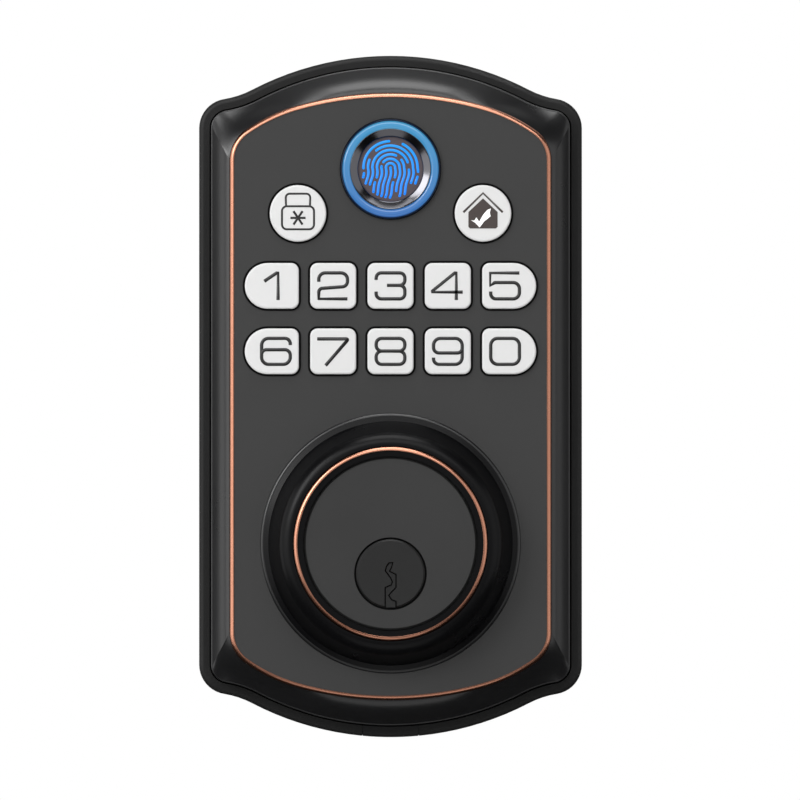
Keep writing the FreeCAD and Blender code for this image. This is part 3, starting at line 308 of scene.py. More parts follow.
# %% Dress the model
for name, node in NODES.items():
    for holder, slot in zip(node.material_slots, WANTED[name]):
        holder.material = FINISHES[slot]
NODES["cylinder_collar"].material_slots[0].material = FINISHES["collar_finish"]
print("dressed", len(NODES))

# %% [markdown]
# ## Outlines of the plate and of the face
# Both outlines are straight sides, a round corner, a shoulder arc and a shallow crown. The
# plate's shoulder is hollow and the face's swells. They are worked out arc by arc from where the
# arcs touch, with the same number of points in each stretch, so that point 40 of one outline
# faces point 40 of the other and a skin between them runs straight across.

# %% Outline by arcs
STEPS = (20, 18, 16, 22)
MIDDLE = (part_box("rear_housing")[0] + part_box("rear_housing")[1]) / 2


def arc(centre, radius, start, end, count, hollow=False):
    out = []
    for n in range(count):
        a = math.radians(start + (end - start) * n / count)
        way = Vector((math.cos(a), math.sin(a)))
        out.append((centre + way * radius, -way if hollow else way))
    return out


def outline(half, top, crown, shoulder, corner, run):
    hollow = shoulder < 0
    rise = math.sqrt(crown ** 2 - run ** 2)
    way = Vector((run, rise)) / crown
    crown_centre = Vector((0.0, top - crown))
    shoulder_centre = crown_centre + way * (crown - shoulder)
    across = half - corner - shoulder_centre.x
    reach = abs(shoulder - corner)
    fall = math.sqrt(reach ** 2 - across ** 2)
    corner_centre = Vector((half - corner, shoulder_centre.y + (-fall if hollow else fall)))
    turn = (shoulder_centre - corner_centre) * (1 if hollow else -1)
    a = math.degrees(math.atan2(turn.y, turn.x))
    b = math.degrees(math.atan2(way.y, way.x))
    side = [(Vector((half, corner_centre.y * n / STEPS[0])), Vector((1.0, 0.0)))
            for n in range(STEPS[0])]
    quarter = side + arc(corner_centre, corner, 0, a, STEPS[1])
    if hollow:
        quarter += arc(shoulder_centre, -shoulder, a + 180, b + 180, STEPS[2], True)
    else:
        quarter += arc(shoulder_centre, shoulder, a, b, STEPS[2])
    quarter += arc(crown_centre, crown, b, 90, STEPS[3])
    quarter.append((Vector((0.0, top)), Vector((0.0, 1.0))))
    left = [(Vector((-p.x, p.y)), Vector((-n.x, n.y))) for p, n in quarter[-2::-1]]
    upper = quarter + left
    lower = [(Vector((p.x, -p.y)), Vector((n.x, -n.y))) for p, n in upper[-2:0:-1]]
    return upper + lower


def place(point, level):
    return Vector((point.x, -level, point.y + MIDDLE.z))


def grown(line, extra):
    return [p + n * extra for p, n in line]


plate_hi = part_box("rear_housing")[1]
trim_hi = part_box("face_trim")[1]
BEAD = 0.44 * MM
PLATE = outline(plate_hi.x, plate_hi.z - MIDDLE.z, 55.44 * MM, -17.0 * MM, 5.5 * MM, 25.68 * MM)
FACE = outline(trim_hi.x - BEAD, trim_hi.z - BEAD - MIDDLE.z, 63.75 * MM, 30.73 * MM, 6.33 * MM,
               17.12 * MM)
print("outline points", len(PLATE), len(FACE))

# %% [markdown]
# ## The cover with its rolled bezel
# Between the housing rim and the copper line the cover rolls up to the face like the edge of a
# cushion, steep outside and nearly flat inside. At each corner it dips into a scoop that starts
# at a sharp mitre. A loft would not give the dip, so the skin is written as a formula: rings of
# points from the outer line to the inner one, lowered where the scoop is. Levels are measured
# forwards from the door. The back of the skin steps up where the power socket's tab passes.

# %% Skin helpers
def skin(name, rings, sharp_rings=(), creases=(), crease_rings=()):
    mesh = bpy.data.meshes.new(name)
    count = len(rings[0])
    total = len(rings)
    build = bmesh.new()
    rows = [[build.verts.new(p) for p in ring] for ring in rings]
    for j in range(total):
        for i in range(count):
            k = (i + 1) % count
            m = (j + 1) % total
            build.faces.new((rows[j][i], rows[j][k], rows[m][k], rows[m][i]))
    bmesh.ops.recalc_face_normals(build, faces=build.faces)
    for face in build.faces:
        face.smooth = True
    for j in sharp_rings:
        for i in range(count):
            build.edges.get((rows[j][i], rows[j][(i + 1) % count])).smooth = False
    for i in creases:
        for j in crease_rings:
            build.edges.get((rows[j][i], rows[j + 1][i])).smooth = False
    build.to_mesh(mesh)
    build.free()
    thing = bpy.data.objects.new(name, mesh)
    bpy.context.scene.collection.objects.link(thing)
    return thing


def adopt(thing, slot, body, *nodes):
    thing.data.materials.clear()
    thing.data.materials.append(FINISHES[slot])
    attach(thing, body)
    if nodes:
        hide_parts(*nodes)
    print(thing.name, "faces", len(thing.data.polygons))


def turned(name, profile, centre, sharp_rings=(), count=144):
    rings_of = []
    for r, level in profile:
        ring_points = []
        for n in range(count):
            a = math.tau * n / count
            ring_points.append(Vector((centre.x + r * math.cos(a), -level,
                                       centre.z + r * math.sin(a))))
        rings_of.append(ring_points)
    return skin(name, rings_of, sharp_rings)


# %% Cover skin
INSET = 2.26 * MM
LIP = 0.28 * MM
CREST = 19.2 * MM
BASE = 15.5 * MM
ROLL = 82.0
SCOOP = 0.9 * MM
SCOOP_REACH = 1.3
SCOOP_SKEW = 0.85
BANDS = 28
EDGE = 0.25 * MM
WALL = 2.0 * MM
SEAT = 17.4 * MM
LEDGE = 14.0 * MM
TUCK = 1.6 * MM
BEAD_GAP = 0.03 * MM
TAB_HALF = 5.5 * MM
REAR = 6.5 * MM
REAR_AT_TAB = 10.5 * MM


def scoop_share(number):
    quarter = sum(STEPS)
    n = number % (2 * quarter)
    n = min(n, 2 * quarter - n)
    into = (n - STEPS[0]) / (STEPS[1] + STEPS[2])
    if into <= 0 or into >= SCOOP_REACH:
        return 0.0
    return math.sin(math.pi * (into / SCOOP_REACH) ** SCOOP_SKEW)


def bezel_ring(t):
    ring = []
    for number, ((p, n), (q, m)) in enumerate(zip(PLATE, FACE)):
        outer = p - n * (INSET + LIP)
        inner = q + m * (BEAD + BEAD_GAP)
        point = outer.lerp(inner, t)
        dip = SCOOP * scoop_share(number) * math.sin(math.pi * t)
        rise = math.sin(math.radians(ROLL) * t) / math.sin(math.radians(ROLL))
        ring.append(place(point, BASE + (CREST - BASE) * rise - dip))
    return ring


def rear_level(point):
    return REAR_AT_TAB if abs(point.x) < TAB_HALF and point.y < 0 else REAR


def level_ring(line, level):
    return [place(p, level) for p in line]


skirt = grown(PLATE, -INSET)
inside = grown(PLATE, -INSET - WALL)
rings = [[place(p, rear_level(p)) for p in skirt], level_ring(skirt, BASE - EDGE)]
for a in map(math.radians, (20, 45, 70, 90)):
    rounded = grown(PLATE, -INSET - EDGE * (1 - math.cos(a)))
    rings.append(level_ring(rounded, BASE - EDGE + EDGE * math.sin(a)))
first = len(rings)
rings += [bezel_ring(t / BANDS) for t in range(BANDS + 1)]
last = len(rings) - 1
rings.append(level_ring(grown(FACE, BEAD), SEAT))
rings.append(level_ring(grown(FACE, -TUCK), SEAT))
rings.append(level_ring(grown(FACE, -TUCK), LEDGE))
rings.append(level_ring(inside, LEDGE))
rings.append([place(p, rear_level(p)) for p in inside])
quarter = sum(STEPS)
corners = [STEPS[0], 2 * quarter - STEPS[0], 2 * quarter + STEPS[0], 4 * quarter - STEPS[0]]
cover = skin("bezel_cover", rings, [0, first, last] + list(range(last + 1, len(rings))), corners,
             range(first, last))
adopt(cover, "cover_finish", "lock_case", "front_cover")

# %% [markdown]
# ## Copper line and copper ring
# The line round the face and the ring on the collar are pressed strips with a nearly flat top
# that leans outwards and rolls over to the outside. The top catches the high light and the roll
# stays dark, which gives the copper its two tones. A swept circle has no such lean, so one short
# profile is carried round the face's outline for the line and turned for the ring.

# %% Copper pieces
LEAN_SHARP = [0, 1, 2, 9]
LEAN = ((-0.4, -0.8), (-0.4, -0.03), (-0.37, 0.0), (-0.22, -0.01), (-0.06, -0.05), (0.1, -0.13),
        (0.24, -0.26), (0.35, -0.43), (0.42, -0.63), (0.44, -0.8))
face_crest = -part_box("face_trim")[0].y
rows = [level_ring(grown(FACE, off * MM), face_crest + drop * MM) for off, drop in LEAN]
adopt(skin("face_bead", rows, LEAN_SHARP), "copper_trim", "lock_case", "face_trim")
lo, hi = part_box("collar_trim")
middle = (lo + hi) / 2
ring_radius = (hi.x - lo.x) / 2 - BEAD
profile = [(ring_radius + off * MM, -lo.y + drop * MM) for off, drop in LEAN]
adopt(turned("collar_bead", profile, middle, LEAN_SHARP), "copper_trim", "lock_case",
      "collar_trim")

# %% [markdown]
# ## A bead swept along a path
# Where the collar meets the face it stands on a thin round foot. A shape that follows a path
# suits Geometry Nodes: the path goes in, a circle is swept along it and the bead comes out. The
# tree has its radius as a named input, and the result is turned into a plain mesh because the
# finished piece must not depend on a live modifier.

# %% Bead tree
def tree_of(name):
    tree = bpy.data.node_groups.new(name, "GeometryNodeTree")
    socket(tree, "INPUT", "Path", "NodeSocketGeometry")
    socket(tree, "OUTPUT", "Piece", "NodeSocketGeometry")
    socket(tree, "INPUT", "Finish", "NodeSocketMaterial")
    return tree, tree.nodes.new("NodeGroupInput"), tree.nodes.new("NodeGroupOutput")


def close_tree(tree, entry, leave, node, output):
    real = tree.nodes.new("GeometryNodeRealizeInstances")
    paint = tree.nodes.new("GeometryNodeSetMaterial")
    join(tree, node, output, real, "Geometry")
    join(tree, real, "Geometry", paint, "Geometry")
    join(tree, entry, "Finish", paint, "Material")
    join(tree, paint, "Geometry", leave, "Piece")


def bead_tree():
    tree, entry, leave = tree_of("bead_on_path")
    socket(tree, "INPUT", "Bead Radius", "NodeSocketFloat", BEAD)
    path = tree.nodes.new("GeometryNodeMeshToCurve")
    ring = tree.nodes.new("GeometryNodeCurvePrimitiveCircle")
    ring.inputs["Resolution"].default_value = 20
    sweep = tree.nodes.new("GeometryNodeCurveToMesh")
    join(tree, entry, "Path", path, "Mesh")
    join(tree, path, "Curve", sweep, "Curve")
    join(tree, entry, "Bead Radius", ring, "Radius")
    join(tree, ring, "Curve", sweep, "Profile Curve")
    close_tree(tree, entry, leave, sweep, "Mesh")
    return tree


def wire(name, runs):
    mesh = bpy.data.meshes.new(name)
    points, edges, corners = [], [], []
    for run, closed, radius in runs:
        start = len(points)
        points += [Vector(p).to_3d() for p in run]
        corners += radius if isinstance(radius, list) else [radius] * len(run)
        edges += [(start + n, start + n + 1) for n in range(len(run) - 1)]
        if closed:
            edges.append((start + len(run) - 1, start))
    mesh.from_pydata(points, edges, [])
    mesh.attributes.new("corner", "FLOAT", "POINT").data.foreach_set("value", corners)
    thing = bpy.data.objects.new(name, mesh)
    bpy.context.scene.collection.objects.link(thing)
    return thing


def run_tree(thing, tree, **values):
    modifier = thing.modifiers.new(tree.name, "NODES")
    modifier.node_group = tree
    for item in tree.interface.items_tree:
        key = item.name.replace(" ", "_").lower()
        if item.in_out == "INPUT" and key in values:
            modifier[item.identifier] = values[key]
    live = thing.evaluated_get(bpy.context.evaluated_depsgraph_get())
    plain = bpy.data.meshes.new_from_object(live)
    thing.modifiers.remove(modifier)
    thing.data = plain
    return thing


BEADS = bead_tree()
print("tree", BEADS.name, [i.name for i in BEADS.interface.items_tree])

# %% Collar foot
FOOT_STEPS = 180
FOOT_RADIUS = 0.6 * MM
lo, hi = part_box("cylinder_collar")
foot_reach = (hi.x - lo.x) / 2 + 0.05 * MM
foot_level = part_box("face_panel")[0].y + 0.22 * MM
points = []
for n in range(FOOT_STEPS):
    a = math.tau * n / FOOT_STEPS
    points.append((middle.x + foot_reach * math.cos(a), foot_level,
                   middle.z + foot_reach * math.sin(a)))
foot = wire("collar_foot", [(points, True, 0.0)])
run_tree(foot, BEADS, bead_radius=FOOT_RADIUS, finish=FINISHES["cover_finish"])
foot.data.polygons.foreach_set("use_smooth", [True] * len(foot.data.polygons))
adopt(foot, "cover_finish", "lock_case")

# %% [markdown]
# ## Printed strokes
# Key legends, symbols and the print pattern on the reader are all strokes of an even width laid
# on a flat face. A font would bring somebody's lettering with it, so the figures are drawn here
# as short runs with rounded corners. One Geometry Nodes tree rounds the corners, sweeps a thin
# flat bar along the run, rounds the ends if asked, and stands the drawing up on its face.

# %% Stroke tree
def stroke_tree():
    tree, entry, leave = tree_of("stroke")
    socket(tree, "INPUT", "Width", "NodeSocketFloat", 0.5 * MM)
    socket(tree, "INPUT", "Thickness", "NodeSocketFloat", 0.06 * MM)
    socket(tree, "INPUT", "Round Ends", "NodeSocketBool", False)
    socket(tree, "INPUT", "Place", "NodeSocketVector")
    new = tree.nodes.new
    path = new("GeometryNodeMeshToCurve")
    corner = new("GeometryNodeInputNamedAttribute")
    corner.inputs["Name"].default_value = "corner"
    fillet = new("GeometryNodeFilletCurve")
    fillet.mode = "POLY"
    fillet.inputs["Count"].default_value = 8
    fillet.inputs["Limit Radius"].default_value = True
    flat = new("GeometryNodeSetCurveNormal")
    flat.mode = "Z_UP"
    bar = new("GeometryNodeCurvePrimitiveQuadrilateral")
    sweep = new("GeometryNodeCurveToMesh")
    sweep.inputs["Fill Caps"].default_value = True
    half = new("ShaderNodeMath")
    half.operation = "MULTIPLY"
    half.inputs[1].default_value = 0.5
    dot = new("GeometryNodeMeshCylinder")
    dot.inputs["Vertices"].default_value = 20
    ends = new("GeometryNodeCurveEndpointSelection")
    both = new("FunctionNodeBooleanMath")
    dots = new("GeometryNodeInstanceOnPoints")
    together = new("GeometryNodeJoinGeometry")
    stand = new("GeometryNodeTransform")
    stand.inputs["Rotation"].default_value = (math.pi / 2, 0.0, 0.0)
    join(tree, entry, "Path", path, "Mesh")
    join(tree, path, "Curve", fillet, "Curve")
    join(tree, corner, "Attribute", fillet, "Radius")
    join(tree, fillet, "Curve", flat, "Curve")
    join(tree, flat, "Curve", sweep, "Curve")
    join(tree, entry, "Width", bar, "Width")
    join(tree, entry, "Thickness", bar, "Height")
    join(tree, bar, "Curve", sweep, "Profile Curve")
    join(tree, entry, "Width", half, 0)
    join(tree, half, "Value", dot, "Radius")
    join(tree, entry, "Thickness", dot, "Depth")
    join(tree, ends, "Selection", both, 0)
    join(tree, entry, "Round Ends", both, 1)
    join(tree, flat, "Curve", dots, "Points")
    join(tree, both, "Boolean", dots, "Selection")
    join(tree, dot, "Mesh", dots, "Instance")
    join(tree, sweep, "Mesh", together, "Geometry")
    join(tree, dots, "Instances", together, "Geometry")
    join(tree, together, "Geometry", stand, "Geometry")
    join(tree, entry, "Place", stand, "Translation")
    close_tree(tree, entry, leave, stand, "Geometry")
    return tree


STROKES = stroke_tree()
print("tree", STROKES.name, [i.name for i in STROKES.interface.items_tree])

# %% [markdown]
# ## Key legends
# The figures are wide and square shouldered, drawn in a box 5.3 mm wide and 4.8 mm high, and
# each run carries how round its corners are. Runs of one figure that cross are lifted by a few
# thousandths of a millimetre, so that no two faces coincide. A figure sits as far from the
# straight edge of its key as the key is half tall, which centres it on the square keys and on
# the D shaped end keys.

# %% Figures
W, H = 2.65, 2.4
FIGURE_WIDTH = 0.62
INK_DEPTH = 0.06 * MM
INK_LIFT = 0.01 * MM
LAYER_LIFT = 0.004 * MM
OBLONG = 1.05
FIGURES = {
    "0": [([(-W, -H), (W, -H), (W, H), (-W, H)], True, 1.3)],
    "1": [([(-2.15, 0.85), (0.12, 2.38), (0.4, 2.38), (0.4, -2.62)], False, 0.0)],
    "2": [([(-W, 0.75), (-W, H), (W, H), (W, -0.1), (-W, -0.5), (-W, -H), (W, -H)], False,
           [0.0, 1.2, 1.2, 1.0, 0.7, 0.0, 0.0])],
    "3": [([(-W, 1.1), (-W, H), (W, H), (W, 0.1), (-0.65, 0.1)], False, 0.95),
          ([(0.9, 0.1), (W, 0.1), (W, -H), (-W, -H), (-W, -1.05)], False, 0.95)],
    "4": [([(2.75, -1.15), (-2.85, -1.15), (-2.85, -0.95), (1.3, 2.4), (1.56, 2.4),
            (1.56, -2.62)], False, 0.0)],
    "5": [([(2.65, 2.38), (-2.75, 2.38), (-2.75, 0.05), (-1.9, 0.62), (W, 0.62), (W, -H),
            (-W, -H), (-W, -1.05)], False, [0.0, 0.0, 0.0, 0.5, 1.15, 1.15, 0.95, 0.0])],
    "6": [([(W, 1.15), (W, H), (-W, H), (-W, -H), (W, -H), (W, 0.3), (0.0, 0.3)], False,
           [0.0, 1.0, 1.3, 1.3, 1.3, 1.0, 0.0]),
          ([(0.1, 0.3), (-W, 0.3), (-W, -0.9)], False, 0.9)],
    "7": [([(-2.95, 2.3), (2.75, 2.3), (2.6, 2.0), (-1.4, -2.62)], False, [0.0, 0.2, 0.2, 0.0])],
    "8": [([(-W, -H), (W, -H), (W, 0.05), (-W, 0.05)], True, 1.05),
          ([(-W, 0.05), (W, 0.05), (W, H), (-W, H)], True, 1.05)],
    "9": [([(-W, -1.15), (-W, -H), (W, -H), (W, H), (-W, H), (-W, -0.3), (0.0, -0.3)], False,
           [0.0, 1.0, 1.3, 1.3, 1.3, 1.0, 0.0]),
          ([(-0.1, -0.3), (W, -0.3), (W, 0.9)], False, 0.9)],
}


def scaled(runs, size=MM):
    out = []
    for layer, (run, closed, radius) in enumerate(runs):
        rounds = [r * size for r in radius] if isinstance(radius, list) else radius * size
        lift = LAYER_LIFT * (layer % 3)
        out.append(([(x * size, z * size, lift) for x, z in run], closed, rounds))
    return out


def drawing(name, runs, ink, body, spot, width, round_ends=False):
    thing = wire(name, scaled(runs))
    run_tree(thing, STROKES, width=width * MM, thickness=INK_DEPTH, round_ends=round_ends,
             place=spot, finish=FINISHES[ink])
    adopt(thing, ink, body)


def key_spot(node):
    lo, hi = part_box(node)
    tall = hi.z - lo.z
    outward = 1 if lo.x + hi.x > 0 else -1
    straight = lo.x if outward > 0 else hi.x
    x = straight + outward * tall / 2 if (hi.x - lo.x) > tall * OBLONG else (lo.x + hi.x) / 2
    return Vector((x, lo.y - INK_LIFT, (lo.z + hi.z) / 2))


for figure, runs in FIGURES.items():
    key = "key_" + figure
    drawing("legend_" + figure, runs, "legend_ink", key, key_spot(key), FIGURE_WIDTH)

# %% [markdown]
# ## Padlock and house symbols
# The two round keys carry a padlock with an asterisk and a house with a tick. The padlock is
# strokes like the figures. The house and the tick are filled shapes, so they are thin plates cut
# to a drawn outline, one on top of the other, as a printer would lay one ink over another.

# %% Symbols
SYMBOL_DEPTH = 0.05 * MM


def plate_cut(name, outline_points, spot, lift, ink, body):
    build = bmesh.new()
    place_at = spot + Vector((0.0, -lift * MM, 0.0))
    verts = [build.verts.new(place_at + Vector((x * MM, 0.0, z * MM))) for x, z in outline_points]
    face = build.faces.new(verts)
    raised = bmesh.ops.extrude_face_region(build, geom=[face])
    moved = [v for v in raised["geom"] if isinstance(v, bmesh.types.BMVert)]
    bmesh.ops.translate(build, verts=moved, vec=(0.0, SYMBOL_DEPTH, 0.0))
    bmesh.ops.recalc_face_normals(build, faces=build.faces)
    mesh = bpy.data.meshes.new(name)
    build.to_mesh(mesh)
    build.free()
    thing = bpy.data.objects.new(name, mesh)
    bpy.context.scene.collection.objects.link(thing)
    adopt(thing, ink, body)


spot = key_spot("key_lock")
drawing("symbol_lock", [
    ([(-2.2, 1.37), (-2.3, 3.64), (2.3, 3.64), (2.2, 1.37)], False, 0.75),
    ([(-2.96, -2.94), (2.96, -2.94), (2.96, 1.32), (-2.96, 1.32)], True, 0.9)],
    "legend_ink", "key_lock", spot, 0.37)
drawing("symbol_star", [
    ([(-1.4, -0.83), (1.4, -0.83)], False, 0.0),
    ([(-0.83, -2.07), (0.83, 0.41)], False, 0.0),
    ([(-0.83, 0.41), (0.83, -2.07)], False, 0.0)], "legend_ink", "key_lock", spot, 0.41)
spot = key_spot("key_home")
drawing("symbol_roof", [([(-3.64, 0.2), (0.0, 3.75), (3.64, 0.2)], False, 0.0)],
        "house_ink", "key_home", spot, 0.4)
plate_cut("symbol_house", [
    (-2.4, -2.8), (2.4, -2.8), (2.7, -2.5), (2.7, 0.25), (0.0, 2.77), (-2.7, 0.25), (-2.7, -2.5)],
    spot, 0.03, "house_ink", "key_home")
plate_cut("symbol_tick", [
    (-2.19, -1.28), (-1.6, -1.35), (-1.24, -0.75), (-0.7, -1.53), (0.0, -0.3), (0.75, 0.6),
    (1.45, 0.91), (1.24, 0.12), (1.41, -0.54), (0.2, -1.5), (-0.62, -2.6), (-1.5, -1.7)],
    spot, 0.08, "check_ink", "key_home")

# %% [markdown]
# ## Rings of the reader
# A soft round light guide circles the reader, and inside it a polished dish leads the finger
# down to the glass. Both are turned shapes, so a short profile is walked round the axis, with
# no need of a sweep. The dish slopes gently, which makes it mirror the soft lights at the side
# and stay dark elsewhere.

# %% Turned rings
GUIDE_WIDTH = 1.4 * MM
GUIDE_CROWN = 0.35 * MM
GUIDE_STEPS = 12
lo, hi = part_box("fingerprint_light_ring")
centre = (lo + hi) / 2
outer = (hi.x - lo.x) / 2
inner = outer - GUIDE_WIDTH
spring = -lo.y - GUIDE_CROWN
profile = [(inner, -hi.y), (outer, -hi.y), (outer, spring)]
for n in range(1, GUIDE_STEPS):
    a = math.pi * n / GUIDE_STEPS
    profile.append(((outer + inner) / 2 + (outer - inner) / 2 * math.cos(a),
                    spring + GUIDE_CROWN * math.sin(a)))
profile.append((inner, spring))
adopt(turned("light_band", profile, centre), "light_ring", "lock_case", "fingerprint_light_ring")
lo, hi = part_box("fingerprint_inner_ring")
outer = (hi.x - lo.x) / 2
front = -lo.y
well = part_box("fingerprint_sensor")
glass = (well[1].x - well[0].x) / 2 + 0.04 * MM
profile = [(glass, -hi.y), (outer, -hi.y), (outer, front - 0.12 * MM), (outer - 0.1 * MM, front)]
DISH_STEPS = 8
DISH_BRIM = 0.14 * MM
for n in range(DISH_STEPS + 1):
    t = n / DISH_STEPS
    profile.append((outer - DISH_BRIM + (glass + DISH_BRIM - outer) * t,
                    front - 0.04 * MM - (0.5 * t + 0.06 * t * t) * MM))
adopt(turned("reader_dish", profile, centre), "dark_chrome", "lock_case",
      "fingerprint_inner_ring")

# %% [markdown]
# ## Painted shade in the gaps
# Each key stands in a window with a thin gap round it, and the plug in a bore with a step. A
# near-black lip fills those gaps as painted shade, standing in for the shade inside them, and it
# draws the fine black line that separates white key from grey face. A torus would not follow the
# square and D shaped keys, so each lip is the key's own outline grown by the gap, and follows
# whatever the model has. The plug's lip is turned.

# %% Gap shade lips
FLANGE = 0.675 * MM
WINDOW = 0.4 * MM
CORNER = 2.075 * MM


def key_outline(node, grow, steps=10):
    lo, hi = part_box(node)
    half = (hi.z - lo.z) / 2
    wide = (hi.x - lo.x) / 2
    centre = (lo + hi) / 2
    if node in ("key_lock", "key_home"):
        sides = [wide] * 4
    elif wide > half * OBLONG:
        right = centre.x > 0
        sides = [half if right else CORNER, CORNER if right else half]
        sides = [sides[0], sides[1], sides[1], sides[0]]
    else:
        sides = [CORNER] * 4
    signs = ((1, 1), (-1, 1), (-1, -1), (1, -1))
    out = []
    for quarter_turn, ((sx, sz), r) in enumerate(zip(signs, sides)):
        mid = Vector((centre.x + sx * (wide - r), centre.z + sz * (half - r)))
        for n in range(steps + 1):
            a = math.radians(90 * quarter_turn + 90 * n / steps)
            out.append(mid + Vector((math.cos(a), math.sin(a))) * (r + grow))
    return out


window_level = -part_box("face_panel")[0].y
shade_lip_rows = ((-FLANGE + 0.03 * MM, -0.5), (-WINDOW, -0.03), (-WINDOW + 0.09 * MM, 0.03),
        (-WINDOW + 0.09 * MM, -0.15), (-FLANGE + 0.03 * MM, -0.9))
without_shade_lip = ("key_membrane", "key_pins")
# Each lip below is painted shade: a black ring in the gap round the key.
for node in [n for n in NODES if n.startswith("key_") and n not in without_shade_lip]:
    rows = [[Vector((p.x, -window_level - drop * MM, p.y)) for p in key_outline(node, grow)]
            for grow, drop in shade_lip_rows]
    adopt(skin(node + "_seal", rows), "gap_rubber", "lock_case")
lo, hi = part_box("plug")
bore = (hi.x - lo.x) / 2
front = -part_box("cylinder_body")[0].y
# This black ring in the bore's step is painted shade, where the step would only be in shadow.
profile = [(bore + 0.05 * MM, front - 0.4 * MM), (bore + 0.35 * MM, front - 0.3 * MM),
           (bore + 0.35 * MM, front - 0.75 * MM), (bore + 0.05 * MM, front - 0.75 * MM)]
adopt(turned("plug_seal", profile, (lo + hi) / 2), "gap_rubber", "lock_case")

# %% [markdown]
# ## Shutter in the keyway
# A spring shutter stands just inside the key slot and keeps dust out, so the slot reads as a
# thin dark line round a plate of the plug's own colour. The plate follows the slot's outline a
# little smaller all round, with a black plate behind it that is painted shade filling the slot's
# depth, and both ride on the plug.

# %% Keyway shutter
SLOT_WIDTH = 1.15
SLOT_DEPTH = 0.22 * MM
MITRE_LIMIT = 0.45
KEYWAY = [
    (-0.95, -1.05), (-0.95, -0.39), (0.05, -0.31), (0.19, -0.24), (-0.07, -0.13), (-0.95, 0.08),
    (-0.72, 0.23), (-0.30, 0.33), (0.50, 0.34), (0.25, 0.17), (0.00, 0.08), (1.00, -0.01),
    (1.00, -0.41), (0.13, -0.57), (-0.13, -0.63), (0.25, -0.74), (1.00, -0.79), (1.00, -1.05)]


def shrunk(points, gap):
    out = []
    for n, p in enumerate(points):
        a, b = Vector(points[n - 1]), Vector(points[(n + 1) % len(points)])
        p = Vector(p)
        before, after = (p - a).normalized(), (b - p).normalized()
        side = Vector((before.y, -before.x)) + Vector((after.y, -after.x))
        reach = gap / max(MITRE_LIMIT, side.length_squared / 4) / 2
        out.append(tuple(p + side * reach))
    return out


lo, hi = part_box("plug")
middle = (lo + hi) / 2
reach = (hi.x - lo.x) / 2 / MM
slot_points = [(SLOT_WIDTH * x, max(reach * z, -reach - 0.12)) for x, z in KEYWAY]
slot_place = Vector((middle.x, lo.y + SLOT_DEPTH, middle.z))
plate_cut("keyway_shutter", shrunk(slot_points, 0.24), slot_place, 0.0, "plug_finish", "plug")
# The black plate behind the shutter is painted shade, standing for the dark depth of the slot.
slot_points = [(SLOT_WIDTH * x, max(reach * z, -reach + 0.2)) for x, z in KEYWAY]
plate_cut("shutter_seal", shrunk(slot_points, 0.02), slot_place, -0.4, "gap_rubber", "plug")

# %% [markdown]
# ## Ridges of the reader
# The glass of the reader shows a glowing print pattern. It is a made-up pattern: arches one
# inside another whose legs sweep down to one side, broken at a few places and trimmed to the
# round glass. Each arch is a run of points, and the stroke tree gives it width and round ends.

# %% Ridges
RIDGE_PITCH = 0.83
RIDGE_WIDTH = 0.46
REACH = 5.3
LEG = 5.6
LEG_STEPS = 60
BREAK_HALF = 4
SHORTEST = 5
BREAKS = {0: [], 1: [0.8], 2: [0.38, 0.95], 3: [0.2, 0.57], 4: [0.12, 0.66], 5: [0.4, 0.86],
          6: [0.3, 0.52, 0.74]}


def arch(number):
    radius = 0.02 + RIDGE_PITCH * number
    points = []
    for n in range(LEG_STEPS + 1):
        points.append((-radius, LEG * n / LEG_STEPS - LEG))
    for n in range(1, LEG_STEPS):
        a = math.pi * (1 - n / LEG_STEPS)
        points.append((radius * math.cos(a), radius * 0.98 * math.sin(a)))
    for n in range(LEG_STEPS + 1):
        points.append((radius, -LEG * n / LEG_STEPS))
    swept = []
    for x, z in points:
        low = max(0.0, -z)
        sway = 0.13 * math.sin(1.5 * low) - 0.035 * low * low
        swept.append((x + sway, z + 0.25))
    return swept


def broken(points, breaks):
    kept = [[]]
    gaps = [round(b * (len(points) - 1)) for b in breaks]
    for n, (x, z) in enumerate(points):
        inside = math.hypot(x, z) < REACH and not any(abs(n - g) <= BREAK_HALF for g in gaps)
        if inside:
            kept[-1].append((x, z))
        elif kept[-1]:
            kept.append([])
    return [(run, False, 0.0) for run in kept if len(run) > SHORTEST]


lo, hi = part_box("fingerprint_sensor")
face_of_glass = Vector(((lo.x + hi.x) / 2, lo.y - INK_LIFT, (lo.z + hi.z) / 2))
runs = []
for number, breaks in BREAKS.items():
    points = arch(number)
    core = points[:LEG_STEPS * 3 // 2 + 1]
    runs += broken(core if number == 0 else points, breaks)
drawing("reader_ridges", runs, "ridge_glow", "lock_case", face_of_glass, RIDGE_WIDTH, True)
print("ridge runs", len(runs))

# %% [markdown]
# ## Stage, light and camera
# The lock hangs clear above a pale floor, as in a catalogue, in front of a white surround. A
# glossy black shape is drawn by what it mirrors, so the light comes from broad panels: a wide
# one in front keeps the matt face even, those above draw the long highlights along the top of
# the bezel, a small strong one high at the left brightens the copper, the ones at both sides
# draw bands down the long sides, and one behind keeps the back readable. The floor is hidden
# from mirrors and casts no shadow, so it only lends the lock some soft light from below.

# %% Floor
FLOOR_HALF = 0.5
FLOOR_DROP = 0.06
build = bmesh.new()
bmesh.ops.create_grid(build, x_segments=24, y_segments=24, size=FLOOR_HALF)
bmesh.ops.translate(build, verts=build.verts, vec=(0.0, 0.0, cad_bounds[0][2] - FLOOR_DROP))
floor_mesh = bpy.data.meshes.new("floor")
build.to_mesh(floor_mesh)
build.free()
floor = bpy.data.objects.new("floor", floor_mesh)
bpy.context.scene.collection.objects.link(floor)
floor.data.materials.append(finish("floor_paper", "dededc", "e4e4e2", (0.7, 0.8),
                                   (8.0, 400.0, 0.5), 0.1))
floor.visible_glossy = False
floor.visible_shadow = False
print("floor", floor.dimensions[:])

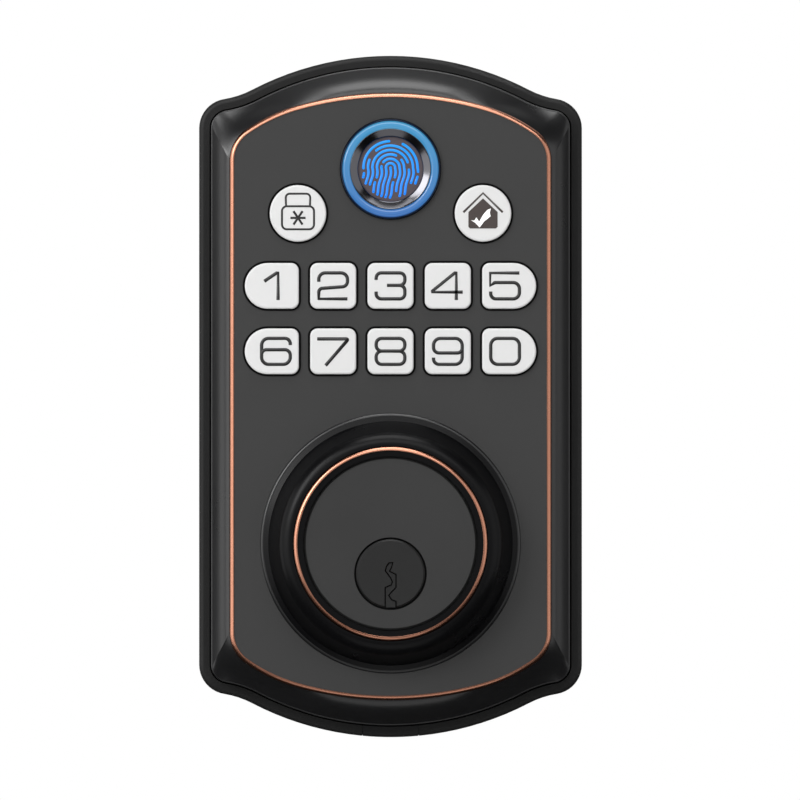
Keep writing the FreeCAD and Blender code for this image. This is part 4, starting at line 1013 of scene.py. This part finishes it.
# %% Surround
FELT_STRENGTH = 0.02
world = bpy.data.worlds.new("surround")
bpy.context.scene.world = world
world.use_nodes = True
tree = world.node_tree
tree.nodes.clear()
seen = tree.nodes.new("ShaderNodeBackground")
seen.inputs["Color"].default_value = (1.0, 1.0, 1.0, 1.0)
felt = tree.nodes.new("ShaderNodeBackground")
felt.inputs["Color"].default_value = (1.0, 1.0, 1.0, 1.0)
felt.inputs["Strength"].default_value = FELT_STRENGTH
which = tree.nodes.new("ShaderNodeLightPath")
choose = tree.nodes.new("ShaderNodeMixShader")
out = tree.nodes.new("ShaderNodeOutputWorld")
join(tree, which, "Is Camera Ray", choose, 0)
tree.links.new(felt.outputs[0], choose.inputs[1])
tree.links.new(seen.outputs[0], choose.inputs[2])
tree.links.new(choose.outputs[0], out.inputs["Surface"])
bpy.context.scene.view_settings.view_transform = "Standard"
print("surround ready")

# %% Lights
HEART = Vector((0.0, -0.01, 0.027))


def panel_light(name, across, up, away, size, radiance):
    a, b = math.radians(across), math.radians(up)
    way = Vector((math.sin(a) * math.cos(b), -math.cos(a) * math.cos(b), math.sin(b)))
    lamp = bpy.data.lights.new(name, "AREA")
    lamp.shape = "RECTANGLE"
    lamp.size, lamp.size_y = size
    lamp.energy = radiance * math.pi * size[0] * size[1]
    holder = bpy.data.objects.new(name, lamp)
    bpy.context.scene.collection.objects.link(holder)
    holder.location = HEART + way * away
    holder.rotation_euler = (HEART - holder.location).to_track_quat("-Z", "Y").to_euler()
    holder.visible_camera = False


panel_light("front_soft", 0, 12, 1.1, (1.3, 1.1), 0.55)
panel_light("key_high_left", -45, 26, 0.95, (0.3, 0.55), 8.0)
panel_light("low_fill", 0, -44, 1.0, (0.6, 0.6), 1.0)
panel_light("crown_back", 0, 114, 0.85, (0.9, 0.5), 0.36)
panel_light("brow_soft", 0, 35, 1.1, (0.95, 0.44), 3.2)
panel_light("top_soft", 0, 71, 0.85, (0.5, 0.46), 5.6)
panel_light("left_front", -52, 8, 0.9, (0.75, 0.8), 2.0)
panel_light("left_side", -94, 5, 0.9, (0.5, 0.8), 1.5)
panel_light("right_front", 54, 5, 0.9, (0.75, 0.8), 1.15)
panel_light("right_side", 95, 5, 0.9, (0.5, 0.8), 0.7)
panel_light("back_soft", 155, 40, 1.3, (1.2, 1.0), 0.7)
print("lights", len(bpy.data.lights))

# %% Camera
FRAME_WIDTH = 148.3 * MM
SENSOR = 36.0
AWAY = 3.0
FACE_OUT = 0.012
eye = bpy.data.cameras.new("camera")
eye.lens = SENSOR * (AWAY - FACE_OUT) / FRAME_WIDTH
eye.clip_end = 20.0
camera = bpy.data.objects.new("camera", eye)
bpy.context.scene.collection.objects.link(camera)
camera.location = (1.76 * MM, -AWAY, 26.5 * MM)
camera.rotation_euler = (math.pi / 2, 0.0, 0.0)
bpy.context.scene.camera = camera
print("lens", round(eye.lens))
